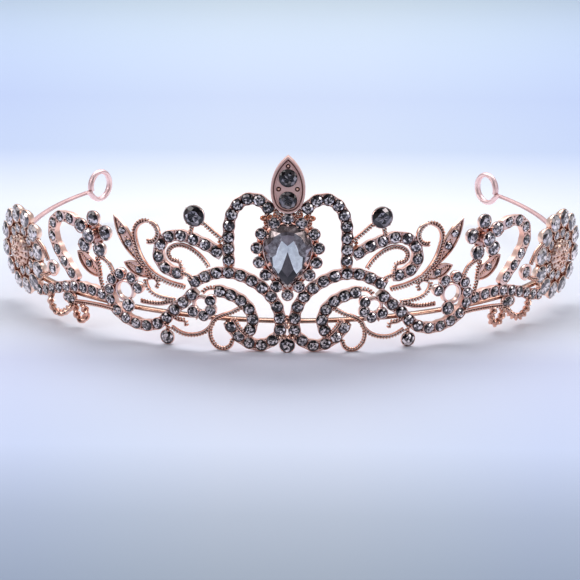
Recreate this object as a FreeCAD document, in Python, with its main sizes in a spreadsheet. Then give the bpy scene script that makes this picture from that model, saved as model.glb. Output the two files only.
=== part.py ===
import FreeCAD, Part
import math
import os
import Sketcher

# Bridal tiara: an openwork front of cast strips, twisted wires and set stones, soldered to a
# thin open headband. Millimetres, +Z up, standing on its lower edge, front towards -Y.
#
# The openwork is drawn flat and laid on a curved, slightly leaning surface. A place on that
# surface is (along, height): arc length from the middle of the front, and height from the
# surface's foot. "out" is the distance in front of the surface, and the strips' front edges
# are at out = 0. Every list below is for the right half; the left half is its mirror image.

SIZES = {
    # surface of the openwork, seen from above: a front arc, then a tighter side arc
    "front_radius": 82.5, "front_length": 52.0, "side_radius": 58.0,
    "lean_front": -1.5, "lean_gain": 6.5, "floor_gap": 0.56, "origin_depth": 54.8,
    # headband: a flattened wire in one tilted plane, its ends curled into loops
    "band_width": 1.6, "band_height": 0.8, "band_round": 0.25, "band_inset": 2.25,
    "tail_start": 75.0, "tail_radius": 68.0, "tail_turn": 34.0, "band_rise": 1.85,
    "band_level": 6.3,
    "loop_bore": 3.3, "loop_wall": 1.5, "loop_step": 4.0, "loop_lift": 1.0,
    # strips of the openwork: a channel that holds a row of small stones
    "strip_width": 2.7, "strip_wall": 0.2, "strip_back": 1.6, "strip_floor": 0.9,
    # wires
    "rope_size": 1.1, "curl_size": 1.7, "rope_out": -0.1,
    # stones, by diameter
    "strip_stone": 2.2, "halo_stone": 2.3, "base_stone": 3.0, "ball_stone": 4.3,
    "finial_stone": 3.9, "petal_stone": 2.9, "leaf_stone": 1.7, "medallion_stone": 4.0,
    # the side's oval stone: a round one stretched and squeezed
    "oval_length": 1.25, "oval_height": 0.8,
    # stone and cup proportions, as shares of the stone's diameter
    "pavilion": 0.36, "girdle": 0.05, "crown": 0.14, "table": 0.56, "culet": 0.12,
    "cup_foot": 0.3, "cup_shoulder": 0.18, "cup_rim": 0.02,
    # cup wall and floor, and the gap between a stone and its seat
    "cup_wall": 0.3, "cup_floor": 0.35, "seat_gap": 0.05,
    # centre drop
    "pear_radius": 4.95, "pear_drop": 8.8, "pear_side": 12.0, "pear_height": 23.6,
    "pear_wall": 0.5, "pear_back": 2.4, "pear_crown": 1.5, "pear_girdle": 0.4, "pear_lip": 0.1,
    "pear_foot_share": 0.3, "pear_table_share": 0.6, "pear_rise": 0.25,
    "halo_rail": 2.0, "halo_rail_depth": 0.8, "halo_rise": 0.2,
    # finial plate, pointed at the top and round at the foot, with a raised rim
    "finial_half": 3.75, "finial_top": 7.4, "finial_bottom": 5.15, "finial_side": 8.25,
    "finial_depth": 1.7,
    "finial_rim": 0.55, "finial_recess": 0.45, "finial_height": 36.4, "bead_size": 0.9,
    # leaves
    "leaf_width": 3.1, "flower_leaf_width": 4.0, "leaf_depth": 1.0, "leaf_rim": 0.35, "leaf_recess": 0.3,
    # rings and flowers
    "eyelet_bore": 1.4, "eyelet_rim": 3.7, "rosette_bore": 1.9, "rosette_rim": 5.1,
    "flower_radius": 3.8, "flower_disc": 2.7, "flower_petals": 5, "flower_rise": 1.3,
    "flower_plate": 0.7,
    "medallion_radius": 8.9, "medallion_petals": 12, "medallion_plate": 0.6,
    "medallion_inner": 5.3, "medallion_inner_count": 11, "medallion_boss": 3.6,
    "medallion_depth": 2.2,
}

# strips: centre line, number of stones, and the bare lengths before the first and after the
# last stone
STRIPS = {
    "shoulder_scroll": ([(1.7, 3.4), (1.6, 7.2), (2.2, 10.0), (4.2, 13.1), (7.4, 15.6), (10.8, 17.1),
                         (14.0, 17.5), (17.0, 16.9), (19.6, 15.6), (22.0, 14.3)], 11, 1.3, 1.3),
    "inner_scroll": ([(16.4, 13.2), (15.1, 13.1), (12.3, 12.3), (9.9, 10.9), (8.2, 8.8), (7.7, 6.5),
                      (8.4, 4.4), (9.9, 2.9)], 6, 1.3, 2.3),
    "lower_swag": ([(13.3, 6.4), (12.6, 5.1), (11.0, 3.1), (8.7, 1.6), (5.9, 1.1), (3.3, 2.3),
                    (2.4, 3.1)], 5, 1.5, 1.2),
    "long_sweep": ([(20.8, 12.7), (23.0, 10.4), (25.9, 7.8), (28.0, 5.5), (30.2, 4.0), (32.7, 3.3),
                    (35.5, 3.4), (38.2, 4.2), (40.6, 5.6), (42.4, 8.0), (42.9, 9.2)], 10, 1.3, 1.3),
    "side_strip": ([(43.6, 8.5), (45.5, 8.9), (48.5, 9.2), (52.0, 9.2), (55.5, 8.6), (59.0, 7.6),
                    (62.5, 6.4), (66.0, 5.3), (68.5, 4.9)], 9, 1.3, 1.3),
    "lyre_arch": ([(13.0, 18.9), (13.1, 22.0), (13.1, 26.0), (12.7, 29.6), (11.4, 32.4), (8.9, 34.2),
                   (6.3, 34.0), (4.4, 32.5), (3.6, 31.3)], 9, 1.4, 1.3),
    "spiral_scroll": ([(14.6, 21.4), (17.2, 23.0), (20.5, 24.3), (24.0, 25.1), (27.0, 24.6),
                       (29.0, 22.6), (29.5, 19.8), (28.0, 17.5), (25.2, 16.5), (23.8, 16.4)],
                      9, 1.4, 1.3),
    "side_arch": ([(52.0, 24.6), (55.5, 25.4), (58.3, 24.7), (60.1, 22.7), (60.3, 19.9), (58.9, 17.3),
                   (56.9, 15.0), (54.6, 12.7), (52.6, 10.6)], 7, 2.1, 2.2),
}

# wires: each route is laid on the surface at the wires' own depth
ROPES = {
    "crozier_rope": [
        [(32.4, 23.1), (31.0, 23.2), (29.7, 24.5), (30.1, 26.6), (31.9, 27.7), (34.2, 27.1), (35.5, 25.0),
         (35.2, 22.4), (34.2, 19.6), (32.4, 17.1), (29.9, 15.2), (26.8, 14.0), (23.0, 13.4)],
        [(32.9, 14.2), (32.3, 12.2), (30.6, 10.9), (28.4, 10.4), (25.4, 10.2)],
        [(32.4, 14.4), (30.7, 14.9), (29.6, 13.9), (30.2, 12.4)],
        [(34.2, 9.0), (31.3, 8.9), (28.8, 9.1), (26.2, 10.0)],
        [(35.4, 19.2), (34.3, 17.9), (33.2, 16.9)],
    ],
    "front_ropes": [
        [(10.2, 9.7), (12.6, 8.3), (15.0, 7.3), (16.7, 5.8), (17.3, 3.6), (16.7, 1.3), (14.8, -0.05),
         (12.9, 0.6), (12.3, 2.4)],
        [(16.6, 5.6), (18.2, 3.7), (20.9, 2.5), (23.8, 2.5), (26.6, 3.8)],
        [(25.9, 6.4), (24.6, 5.8), (23.1, 5.6), (22.9, 4.3)],
        [(17.6, 18.4), (18.9, 20.2), (20.9, 21.9), (23.3, 22.9), (25.7, 22.6), (27.0, 21.1), (26.2, 19.6),
         (24.4, 19.2), (23.9, 17.4)],
        [(18.9, 28.4), (16.7, 26.6), (14.2, 24.6)],
        [(21.4, 27.4), (22.0, 25.4)],
        [(11.9, 7.2), (10.6, 5.0), (8.7, 3.2)],
        [(4.5, 31.1), (4.9, 29.9), (4.5, 28.8), (4.7, 27.9)],
        [(3.0, 32.0), (2.2, 31.0), (1.4, 30.2)],
        [(19.2, 12.5), (18.0, 13.6), (16.0, 13.9)],
        [(24.2, 16.5), (22.8, 16.4), (21.4, 15.2)],
        [(27.6, 2.6), (27.3, 3.6), (28.4, 4.8)],
    ],
    "side_ropes": [
        [(46.0, 17.6), (45.2, 15.6), (45.1, 13.3), (44.5, 10.9), (44.1, 9.4)],
        [(45.2, 17.7), (43.3, 17.0), (42.0, 15.6), (41.2, 13.8)],
        [(53.4, 5.3), (50.2, 5.7), (46.8, 5.9), (43.5, 5.9), (40.4, 5.6)],
        [(62.6, 13.4), (64.8, 16.2), (67.4, 17.6)],
        [(61.8, 10.6), (64.6, 9.4), (67.4, 9.2)],
    ],
}
# short wires that tie the two halves together in the middle
CENTRE_TIES = [
    [(0.25, 8.0), (-0.25, 7.0), (0.25, 6.1), (-0.2, 5.2)],
    [(-2.2, 3.2), (0.0, 3.1), (2.2, 3.2)],
]
# thicker wires that curl under the side, part of the side ropes
CURLS = [
    [(62.0, 5.9), (62.5, 3.4), (60.9, 1.6), (58.2, 1.5), (56.0, 2.8), (54.0, 4.8)],
    [(53.4, 4.8), (53.2, 2.9), (51.5, 1.3), (49.9, 2.6), (50.3, 4.2), (51.0, 5.3)],
]

HALO_PLACES = [(3.0, 29.1), (5.8, 26.6), (6.8, 23.4), (6.3, 20.2), (4.8, 17.4), (2.5, 14.8)]
HALO_TOP = (0.0, 30.1)
HALO_FOOT = (0.0, 12.9)
BASE_PLACE = (0.0, 1.25)
FINIAL_STONE_HEIGHTS = [2.6, -2.3]
FINIAL_BEAD_PLACES = [(0.0, 5.3), (2.1, 0.2), (-2.1, 0.2)]
BALL_PLACE = (20.9, 29.8)
DROP_BALL_PLACE = (27.6, 1.3)
EYELET_PLACE = (19.5, 9.6)
EYELET_STONES = [152, 205, 255, 318]
ROSETTE_PLACE = (38.6, 10.7)
ROSETTE_STONES = [-4, 35, 74, 121, 163]
ROSETTE_PITCH = 3.9
EYELET_PITCH = 2.5
# the rosette's larger stone: distance from the ring's axis, angle and rise
ROSETTE_LARGE = (3.5, 250, 0.1)
FLOWER_PLACE = (47.1, 22.6)
FLOWER_TURN = 23.0
BEZEL_PLACE = (61.0, 11.9)
OVAL_PLACE = (55.2, 5.9)
MEDALLION_PLACE = (69.6, 13.0)
MEDALLION_STEP = 6.0
MEDALLION_TURN = 110.0
# leaves: tip, base, the cell with the width, and the stones' places as shares of the way from
# the base to the tip
LEAVES = {
    "tall_leaf": ((40.9, 28.2), (34.9, 18.2), "leaf_width", [0.38, 0.65]),
    "low_leaf": ((38.4, 17.5), (31.4, 15.0), "leaf_width", [0.45]),
    "flower_leaf": ((51.8, 18.0), (44.9, 12.9), "flower_leaf_width", [0.52]),
}

doc = FreeCAD.newDocument("bridal_tiara")
sheet = doc.addObject("Spreadsheet::Sheet", "Sizes")
for row, (alias, value) in enumerate(SIZES.items(), start=1):
    sheet.set("A%d" % row, alias)
    sheet.set("B%d" % row, str(value))
    sheet.setAlias("B%d" % row, alias)
doc.recompute()

PARTS = []


def size(alias):
    """Value of a cell of the sheet."""
    return float(sheet.get(alias))


def vector(x, y, z=0.0):
    return FreeCAD.Vector(x, y, z)


# ---------------------------------------------------------------- the openwork's surface

def plan_angle(along):
    """Direction of the surface's outward normal, seen from above, from straight ahead."""
    front = size("front_length")
    if abs(along) <= front:
        return along / size("front_radius")
    side_angle = front / size("front_radius") + (abs(along) - front) / size("side_radius")
    return math.copysign(side_angle, along)


def plan_point(along):
    """Foot of the surface at an arc length from the middle."""
    front_radius = size("front_radius")
    side_radius = size("side_radius")
    angle = plan_angle(along)
    if abs(along) <= size("front_length"):
        return vector(front_radius * math.sin(angle), front_radius * (1 - math.cos(angle)))
    joint = size("front_length") / front_radius
    shift = front_radius - side_radius
    x = math.copysign(shift * math.sin(joint), along) + side_radius * math.sin(angle)
    y = front_radius - shift * math.cos(joint) - side_radius * math.cos(angle)
    return vector(x, y)


def surface_frame(along, height, out=0.0):
    """Place on the surface, with the sideways, upward and outward directions there."""
    angle = plan_angle(along)
    lean = math.radians(size("lean_front") + size("lean_gain") * (1 - math.cos(angle)))
    sideways = vector(math.cos(angle), math.sin(angle))
    upward = vector(math.sin(lean) * math.sin(angle), -math.sin(lean) * math.cos(angle),
                    math.cos(lean))
    outward = vector(math.cos(lean) * math.sin(angle), -math.cos(lean) * math.cos(angle),
                     -math.sin(lean))
    foot = plan_point(along) + vector(0, 0, size("floor_gap"))
    return foot + upward * height + outward * out, sideways, upward, outward


def placement_of(origin, sideways, upward, outward, turn=0.0):
    """Placement that takes a flat piece, drawn in XY and facing +Z, onto given directions."""
    matrix = FreeCAD.Matrix(sideways.x, upward.x, outward.x, origin.x,
                            sideways.y, upward.y, outward.y, origin.y,
                            sideways.z, upward.z, outward.z, origin.z,
                            0, 0, 0, 1)
    return FreeCAD.Placement(matrix) * spun(turn)


def on_surface(along, height, out=0.0, turn=0.0):
    return placement_of(*surface_frame(along, height, out), turn)


def mirrored(points, side):
    """The same points on one half: side is -1 for the left and 1 for the right."""
    return [(side * along, height) for along, height in points]


def polar(centre, radius, degrees):
    angle = math.radians(degrees)
    return (centre[0] + radius * math.cos(angle), centre[1] + radius * math.sin(angle))


# ---------------------------------------------------------------- sub-parts and their sketches

def origin_shift():
    """The part's origin is under the middle of its box, on the floor."""
    return shifted(0, -size("origin_depth"))


def keep(piece, name, place=None):
    """Give a finished sub-part its name and its placement, and list it."""
    piece.Label = name
    piece.Placement = origin_shift() * (place or FreeCAD.Placement())
    PARTS.append(piece)
    return piece


def keep_shape(shape, name):
    feature = doc.addObject("Part::Feature", name + "_shape")
    feature.Shape = shape
    return keep(feature, name)


def keep_group(piece, places, name):
    """A group of identical solids: copies of one prototype."""
    return keep_shape(Part.makeCompound(placed(piece, places)), name)


def shifted(x, y, z=0.0):
    return FreeCAD.Placement(vector(x, y, z), FreeCAD.Rotation())


def spun(degrees):
    return FreeCAD.Placement(vector(0, 0), FreeCAD.Rotation(vector(0, 0, 1), degrees))


def placed(piece, places):
    """Copies of a prototype's shape at the given places."""
    copies = []
    for place in places:
        copy = piece.Shape.copy()
        copy.Placement = place * copy.Placement
        copies.append(copy)
    return copies


def stretched(piece, place):
    """Copy of a round prototype made oval in its own plane."""
    matrix = FreeCAD.Matrix()
    matrix.scale(size("oval_length"), size("oval_height"), 1)
    copy = piece.Shape.transformGeometry(matrix)
    copy.Placement = place
    return copy


def plane_of(body, role):
    return next(f for f in body.Origin.OriginFeatures if f.Role == role)


def new_sketch(body, name, role, offset=None):
    sketch = body.newObject("Sketcher::SketchObject", name)
    sketch.AttachmentSupport = [(plane_of(body, role), "")]
    sketch.MapMode = "FlatFace"
    if offset is not None:
        sketch.setExpression("AttachmentOffset.Base.z", offset)
    return sketch


def worked_out(expression):
    """Number that an expression of the sheet's cells gives now."""
    value = sheet.evalExpression(expression)
    return float(getattr(value, "Value", value))


def bind(sketch, kind, places, expression):
    """Add a constraint whose value follows the sheet."""
    index = sketch.addConstraint(Sketcher.Constraint(kind, *places, worked_out(expression)))
    sketch.setExpression("Constraints[%d]" % index, expression)


def outline(sketch, corners):
    """Closed outline of straight lines; each corner is a pair of expressions."""
    values = [[worked_out(text) for text in corner] for corner in corners]
    count = len(values)
    for index in range(count):
        start = values[index]
        end = values[(index + 1) % count]
        sketch.addGeometry(Part.LineSegment(vector(*start), vector(*end)), False)
    for index in range(count):
        sketch.addConstraint(Sketcher.Constraint("Coincident", index, 2, (index + 1) % count, 1))
    for index, (x_text, y_text) in enumerate(corners):
        if abs(values[index][0]) < 1e-9:
            sketch.addConstraint(Sketcher.Constraint("PointOnObject", index, 1, -2))
        else:
            bind(sketch, "DistanceX", (-1, 1, index, 1), x_text)
        if abs(values[index][1]) < 1e-9:
            sketch.addConstraint(Sketcher.Constraint("PointOnObject", index, 1, -1))
        else:
            bind(sketch, "DistanceY", (-1, 1, index, 1), y_text)


def circle(sketch, radius, centre=(0, 0)):
    """Circle whose radius is an expression."""
    ring = Part.Circle(vector(*centre), vector(0, 0, 1), worked_out(radius))
    index = sketch.addGeometry(ring, False)
    bind(sketch, "Radius", (index,), radius)


def arcs(sketch, parts):
    """Closed outline of arcs: (centre, radius, first angle, last angle) in degrees."""
    for centre, radius, first, last in parts:
        ring = Part.Circle(vector(*centre), vector(0, 0, 1), radius)
        sketch.addGeometry(Part.ArcOfCircle(ring, math.radians(first), math.radians(last)), False)


def pad(body, name, sketch, length, back=False):
    feature = body.newObject("PartDesign::Pad", name)
    feature.Profile = sketch
    feature.setExpression("Length", length)
    feature.Reversed = back
    return feature


def pocket(body, name, sketch, length):
    """Cut from the sketch's plane towards -Z."""
    feature = body.newObject("PartDesign::Pocket", name)
    feature.Profile = sketch
    feature.setExpression("Length", length)
    return feature


def revolve(body, name, sketch):
    feature = body.newObject("PartDesign::Revolution", name)
    feature.Profile = sketch
    feature.ReferenceAxis = (sketch, ["V_Axis"])
    feature.Angle = 360.0
    return feature


# ---------------------------------------------------------------- stones and cups

# (radius, height) of the corners, with {d} for the stone's diameter
STONE_PROFILE = [
    ("0", "-Sizes.pavilion * {d}"),
    ("Sizes.culet * {d}", "-Sizes.pavilion * {d}"),
    ("0.5 * {d}", "-Sizes.girdle * {d}"),
    ("0.5 * {d}", "Sizes.girdle * {d}"),
    ("Sizes.table * {d} / 2", "Sizes.crown * {d}"),
    ("0", "Sizes.crown * {d}"),
]
CUP_PROFILE = [
    ("0", "-(Sizes.pavilion * {d} + Sizes.cup_floor)"),
    ("Sizes.cup_foot * {d}", "-(Sizes.pavilion * {d} + Sizes.cup_floor)"),
    ("0.5 * {d} + Sizes.cup_wall", "-Sizes.cup_shoulder * {d}"),
    ("0.5 * {d} + Sizes.cup_wall", "Sizes.cup_rim * {d}"),
    ("0.5 * {d} + Sizes.seat_gap", "Sizes.cup_rim * {d}"),
    ("0.5 * {d} + Sizes.seat_gap", "-Sizes.girdle * {d} - Sizes.seat_gap"),
    ("Sizes.culet * {d}", "-Sizes.pavilion * {d} - Sizes.seat_gap"),
    ("0", "-Sizes.pavilion * {d} - Sizes.seat_gap"),
]


def turned_prototype(name, profile, cell):
    """Round piece turned about Z, sized by a stone's diameter."""
    body = doc.addObject("PartDesign::Body", name)
    sketch = new_sketch(body, name + "_profile", "XZ_Plane")
    outline(sketch, [tuple(text.format(d="Sizes." + cell) for text in corner) for corner in profile])
    revolve(body, name + "_turned", sketch)
    return body


STONE_CELLS = ["strip_stone", "halo_stone", "base_stone", "ball_stone", "finial_stone",
               "petal_stone", "leaf_stone", "medallion_stone"]
stones = {cell: turned_prototype(cell + "_prototype", STONE_PROFILE, cell) for cell in STONE_CELLS}
CUP_CELLS = ["halo_stone", "base_stone", "ball_stone", "petal_stone"]
cups = {cell: turned_prototype(cell + "_cup", CUP_PROFILE, cell) for cell in CUP_CELLS}
doc.recompute()


# ---------------------------------------------------------------- strips and wires

def centre_line(points):
    """Smooth curve through the design points, in the plane of the flat drawing."""
    curve = Part.BSplineCurve()
    curve.interpolate([vector(along, height) for along, height in points])
    return curve


def point_at(curve, distance):
    """Point and direction on the flat drawing at a distance along a curve."""
    where = curve.FirstParameter
    if distance > 0:
        where = curve.parameterAtDistance(distance, curve.FirstParameter)
    return curve.value(where), curve.tangent(where)[0]


STATION_PITCH = 1.5
# share of a wire's straight run that the bend at its end takes up
BEND_SHARE = 0.45


def strip_solid(points):
    """Channel with a floor and two thin walls, bent along the surface."""
    half = size("strip_width") / 2
    wall = size("strip_wall")
    back = -size("strip_back")
    floor = -size("strip_floor")
    section = [(-half, back), (-half, 0), (wall - half, 0), (wall - half, floor),
               (half - wall, floor), (half - wall, 0), (half, 0), (half, back)]
    curve = centre_line(points)
    length = curve.length()
    count = max(4, int(length / STATION_PITCH))
    rings = []
    for index in range(count + 1):
        point, direction = point_at(curve, length * index / count)
        origin, sideways, upward, outward = surface_frame(point.x, point.y)
        across = upward * direction.x - sideways * direction.y
        corners = [origin + across * x + outward * y for x, y in section]
        rings.append(Part.makePolygon(corners + corners[:1]))
    return Part.makeLoft(rings, True, False)


def strip_stone_places(points, count, bare_start, bare_end):
    """Places of the stones, evenly spaced between the strip's bare ends."""
    curve = centre_line(points)
    pitch = (curve.length() - bare_start - bare_end) / (count - 1)
    places = []
    for index in range(count):
        point, _ = point_at(curve, bare_start + pitch * index)
        places.append(on_surface(point.x, point.y, -size("girdle") * size("strip_stone")))
    return places


def wire_route(corners):
    """Straight runs joined by tangent arcs, each as large as its two runs allow."""
    edges = []
    start = corners[0]
    for before, corner, after in zip(corners, corners[1:], corners[2:]):
        run_in = corner - before
        run_out = after - corner
        turn = run_in.getAngle(run_out)
        reach = BEND_SHARE * min(run_in.Length, run_out.Length)
        run_in.normalize()
        run_out.normalize()
        first = corner - run_in * reach
        last = corner + run_out * reach
        inward = run_out - run_in
        inward.normalize()
        radius = reach / math.tan(turn / 2)
        sagitta = radius / math.cos(turn / 2) - radius
        edges.append(Part.LineSegment(start, first).toShape())
        edges.append(Part.Arc(first, corner + inward * sagitta, last).toShape())
        start = last
    edges.append(Part.LineSegment(start, corners[-1]).toShape())
    return Part.Wire(edges)


def wire_solid(points, diameter, out):
    """Round wire bent along a route on the surface."""
    corners = [surface_frame(along, height, out)[0] for along, height in points]
    route = wire_route(corners)
    direction = corners[1] - corners[0]
    ring = Part.Circle(corners[0], direction, diameter / 2).toShape()
    return route.makePipeShell([Part.Wire([ring])], True, False)


# ---------------------------------------------------------------- flat plates

def pear_arcs(grow):
    """Pear outline, point down, grown outwards: head arc and two side arcs."""
    head = size("pear_radius")
    side = size("pear_side")
    drop = size("pear_drop")
    reach = side - head
    lift = math.asin((reach ** 2 + drop ** 2 - side ** 2) / (2 * drop * reach))
    right = (-reach * math.cos(lift), -reach * math.sin(lift))
    tip = right[1] - math.sqrt((side + grow) ** 2 - right[0] ** 2)
    tip_angle = math.degrees(math.atan2(tip - right[1], -right[0]))
    lift = math.degrees(lift)
    return [((0, 0), head + grow, lift, 180 - lift),
            ((-right[0], right[1]), side + grow, 180 - lift, 180 - tip_angle),
            (right, side + grow, tip_angle, lift)]


def leaf_arcs(half, top, bottom, grow=0.0):
    """Pointed outline whose widest line is y = 0: two arcs to the top, two to the bottom."""
    top_radius = (half ** 2 + top ** 2) / (2 * half)
    bottom_radius = (half ** 2 + bottom ** 2) / (2 * half)
    parts = []
    for radius, sign in ((top_radius, 1), (bottom_radius, -1)):
        span = math.degrees(math.acos((radius - half) / (radius + grow)))
        centre = radius - half
        right = (0, span) if sign > 0 else (-span, 0)
        left = (180 - span, 180) if sign > 0 else (180, 180 + span)
        parts.append(((-centre, 0), radius + grow) + right)
        parts.append(((centre, 0), radius + grow) + left)
    order = [0, 1, 3, 2]
    return [parts[index] for index in order]


def finial_arcs(grow=0.0):
    """Outline of the finial, widest at y = 0: two arcs to the point, two sides and a foot."""
    half = size("finial_half")
    bottom = size("finial_bottom")
    side = size("finial_side")
    top_radius = (half ** 2 + size("finial_top") ** 2) / (2 * half)
    top_centre = top_radius - half
    span = math.degrees(math.acos(top_centre / (top_radius + grow)))
    side_centre = side - half
    foot = (side ** 2 - side_centre ** 2 - bottom ** 2) / (2 * (side - bottom))
    turn = math.degrees(math.atan2(bottom - foot, side_centre))
    return [((-top_centre, 0), top_radius + grow, 0, span),
            ((top_centre, 0), top_radius + grow, 180 - span, 180),
            ((side_centre, 0), side + grow, 180, 180 + turn),
            ((0, foot - bottom), foot + grow, 180 + turn, 360 - turn),
            ((-side_centre, 0), side + grow, 360 - turn, 360)]


def join_arcs(sketch, count):
    """Make an outline's arcs meet: arc i ends where arc i + 1 starts."""
    for index in range(count):
        sketch.addConstraint(Sketcher.Constraint("Coincident", index, 2, (index + 1) % count, 1))


def arc_sketch(body, name, parts, offset=None, radius_cells=None):
    sketch = new_sketch(body, name, "XY_Plane", offset)
    arcs(sketch, parts)
    join_arcs(sketch, len(parts))
    for index, expression in (radius_cells or {}).items():
        bind(sketch, "Radius", (index,), expression)
    return sketch


# ---------------------------------------------------------------- headband

def headband():
    """Flattened wire in one tilted plane: front arc, side arcs and tails, all tangent."""
    front = size("front_radius") - size("band_inset")
    side = size("side_radius") - size("band_inset")
    tail = size("tail_radius")
    half = size("band_width") / 2
    joint = math.degrees(size("front_length") / size("front_radius"))
    shift = size("front_radius") - size("side_radius")
    side_x = shift * math.sin(math.radians(joint))
    side_y = size("front_radius") - shift * math.cos(math.radians(joint))
    start = size("tail_start")
    tail_x, tail_y = polar((side_x, side_y), side - tail, start - 90)
    turn = size("tail_turn")
    runs = [((-tail_x, tail_y), tail, 180 - turn, 270 - start),
            ((-side_x, side_y), side, 270 - start, 270 - joint),
            ((0, size("front_radius")), front, 270 - joint, 270 + joint),
            ((side_x, side_y), side, 270 + joint, 270 + start),
            ((tail_x, tail_y), tail, start - 90, turn)]
    count = len(runs)

    body = doc.addObject("PartDesign::Body", "headband_body")
    sketch = new_sketch(body, "headband_outline", "XY_Plane")
    for grow in (half, -half):
        arcs(sketch, [(centre, radius + grow, first, last) for centre, radius, first, last in runs])
    for base in (0, count):
        for index in range(base, base + count - 1):
            sketch.addConstraint(Sketcher.Constraint("Coincident", index, 2, index + 1, 1))
    for run, arc, point in ((0, 0, 1), (count - 1, count - 1, 2)):
        centre, radius, first, last = runs[run]
        angle = first if point == 1 else last
        ends = [vector(*polar(centre, radius + grow, angle)) for grow in (half, -half)]
        index = sketch.addGeometry(Part.LineSegment(*ends), False)
        sketch.addConstraint(Sketcher.Constraint("Coincident", index, 1, arc, point))
        sketch.addConstraint(Sketcher.Constraint("Coincident", index, 2, arc + count, point))
    bind(sketch, "Radius", (2,), "Sizes.front_radius - Sizes.band_inset + Sizes.band_width / 2")
    bind(sketch, "Radius", (4,), "Sizes.tail_radius + Sizes.band_width / 2")
    pad(body, "headband_pad", sketch, "Sizes.band_height")
    doc.recompute()
    long_edges = ["Edge%d" % number for number, edge in enumerate(body.Shape.Edges, start=1)
                  if edge.Length > 2 * size("band_width")]
    rounding = body.newObject("PartDesign::Fillet", "headband_rounding")
    rounding.Base = (doc.getObject("headband_pad"), long_edges)
    rounding.setExpression("Radius", "Sizes.band_round")
    tilt = FreeCAD.Rotation(vector(1, 0, 0), size("band_rise"))
    keep(body, "headband", FreeCAD.Placement(vector(0, 0, size("band_level")), tilt))
    return vector(*polar((tail_x, tail_y), tail, turn), size("band_height") / 2)


def end_loops(band_end):
    """Closed loops at the band's ends, each upright along the band's own direction there."""
    tilt = FreeCAD.Rotation(vector(1, 0, 0), size("band_rise"))
    band_place = FreeCAD.Placement(vector(0, 0, size("band_level")), tilt)
    heading = math.radians(90 + size("tail_turn"))
    for side, name in ((-1, "end_loop_left"), (1, "end_loop_right")):
        body = doc.addObject("PartDesign::Body", name + "_body")
        sketch = new_sketch(body, name + "_section", "XZ_Plane")
        outline(sketch, [("Sizes.loop_bore", "-Sizes.band_width / 2"),
                         ("Sizes.loop_bore + Sizes.loop_wall", "-Sizes.band_width / 2"),
                         ("Sizes.loop_bore + Sizes.loop_wall", "Sizes.band_width / 2"),
                         ("Sizes.loop_bore", "Sizes.band_width / 2")])
        revolve(body, name + "_turned", sketch)
        forward = vector(side * math.cos(heading), math.sin(heading))
        centre = vector(side * band_end.x, band_end.y, band_end.z + size("loop_lift"))
        centre += forward * size("loop_step")
        axis = forward.cross(vector(0, 0, 1))
        keep(body, name, band_place * placement_of(centre, forward, vector(0, 0, 1), axis))


# ---------------------------------------------------------------- middle of the front

def pear_drop():
    """Large pear stone in a raised setting, with a rail behind the ring of small cups."""
    place = (0, size("pear_height"))
    setting = doc.addObject("PartDesign::Body", "pear_setting_body")
    rail = arc_sketch(setting, "halo_rail_outline", pear_arcs(size("halo_rail")), "-Sizes.pear_back",
                      {0: "Sizes.pear_radius + Sizes.halo_rail"})
    pad(setting, "halo_rail_pad", rail, "Sizes.halo_rail_depth")
    wall = arc_sketch(setting, "pear_wall_outline", pear_arcs(size("pear_wall")), "-Sizes.pear_back",
                      {0: "Sizes.pear_radius + Sizes.pear_wall"})
    pad(setting, "pear_wall_pad", wall, "Sizes.pear_back + Sizes.pear_lip")
    seat = arc_sketch(setting, "pear_seat_outline", pear_arcs(size("seat_gap")), "Sizes.pear_lip",
                      {0: "Sizes.pear_radius + Sizes.seat_gap"})
    pocket(setting, "pear_seat", seat, "Sizes.pear_back")
    keep(setting, "pear_setting", on_surface(*place))

    stone = doc.addObject("PartDesign::Body", "pear_stone_body")
    levels = [("pear_foot", "Sizes.pear_lip - Sizes.pear_back + Sizes.seat_gap", size("pear_foot_share")),
              ("pear_low_girdle", "-Sizes.pear_girdle", 1.0),
              ("pear_high_girdle", "0", 1.0),
              ("pear_table", "Sizes.pear_crown", size("pear_table_share"))]
    sketches = []
    for name, level, share in levels:
        outline_arcs = [((share * centre[0], share * centre[1]), share * radius, first, last)
                        for centre, radius, first, last in pear_arcs(0)]
        sketches.append(arc_sketch(stone, name, outline_arcs, level,
                                   {0: "Sizes.pear_radius * %g" % share}))
    for first, last in zip(sketches, sketches[1:]):
        loft = stone.newObject("PartDesign::AdditiveLoft", first.Name + "_loft")
        loft.Profile = first
        loft.Sections = [last]
        loft.Ruled = True
    keep(stone, "pear_stone", on_surface(*place, size("pear_rise")))


def halo():
    """Ring of small stones round the drop, each in a cup of its own."""
    places = [HALO_TOP, HALO_FOOT]
    for side in (-1, 1):
        places += mirrored(HALO_PLACES, side)
    fitted = [on_surface(along, height, size("halo_rise")) for along, height in places]
    keep_group(cups["halo_stone"], fitted, "halo_cups")
    keep_group(stones["halo_stone"], fitted, "halo_stones")


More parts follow.
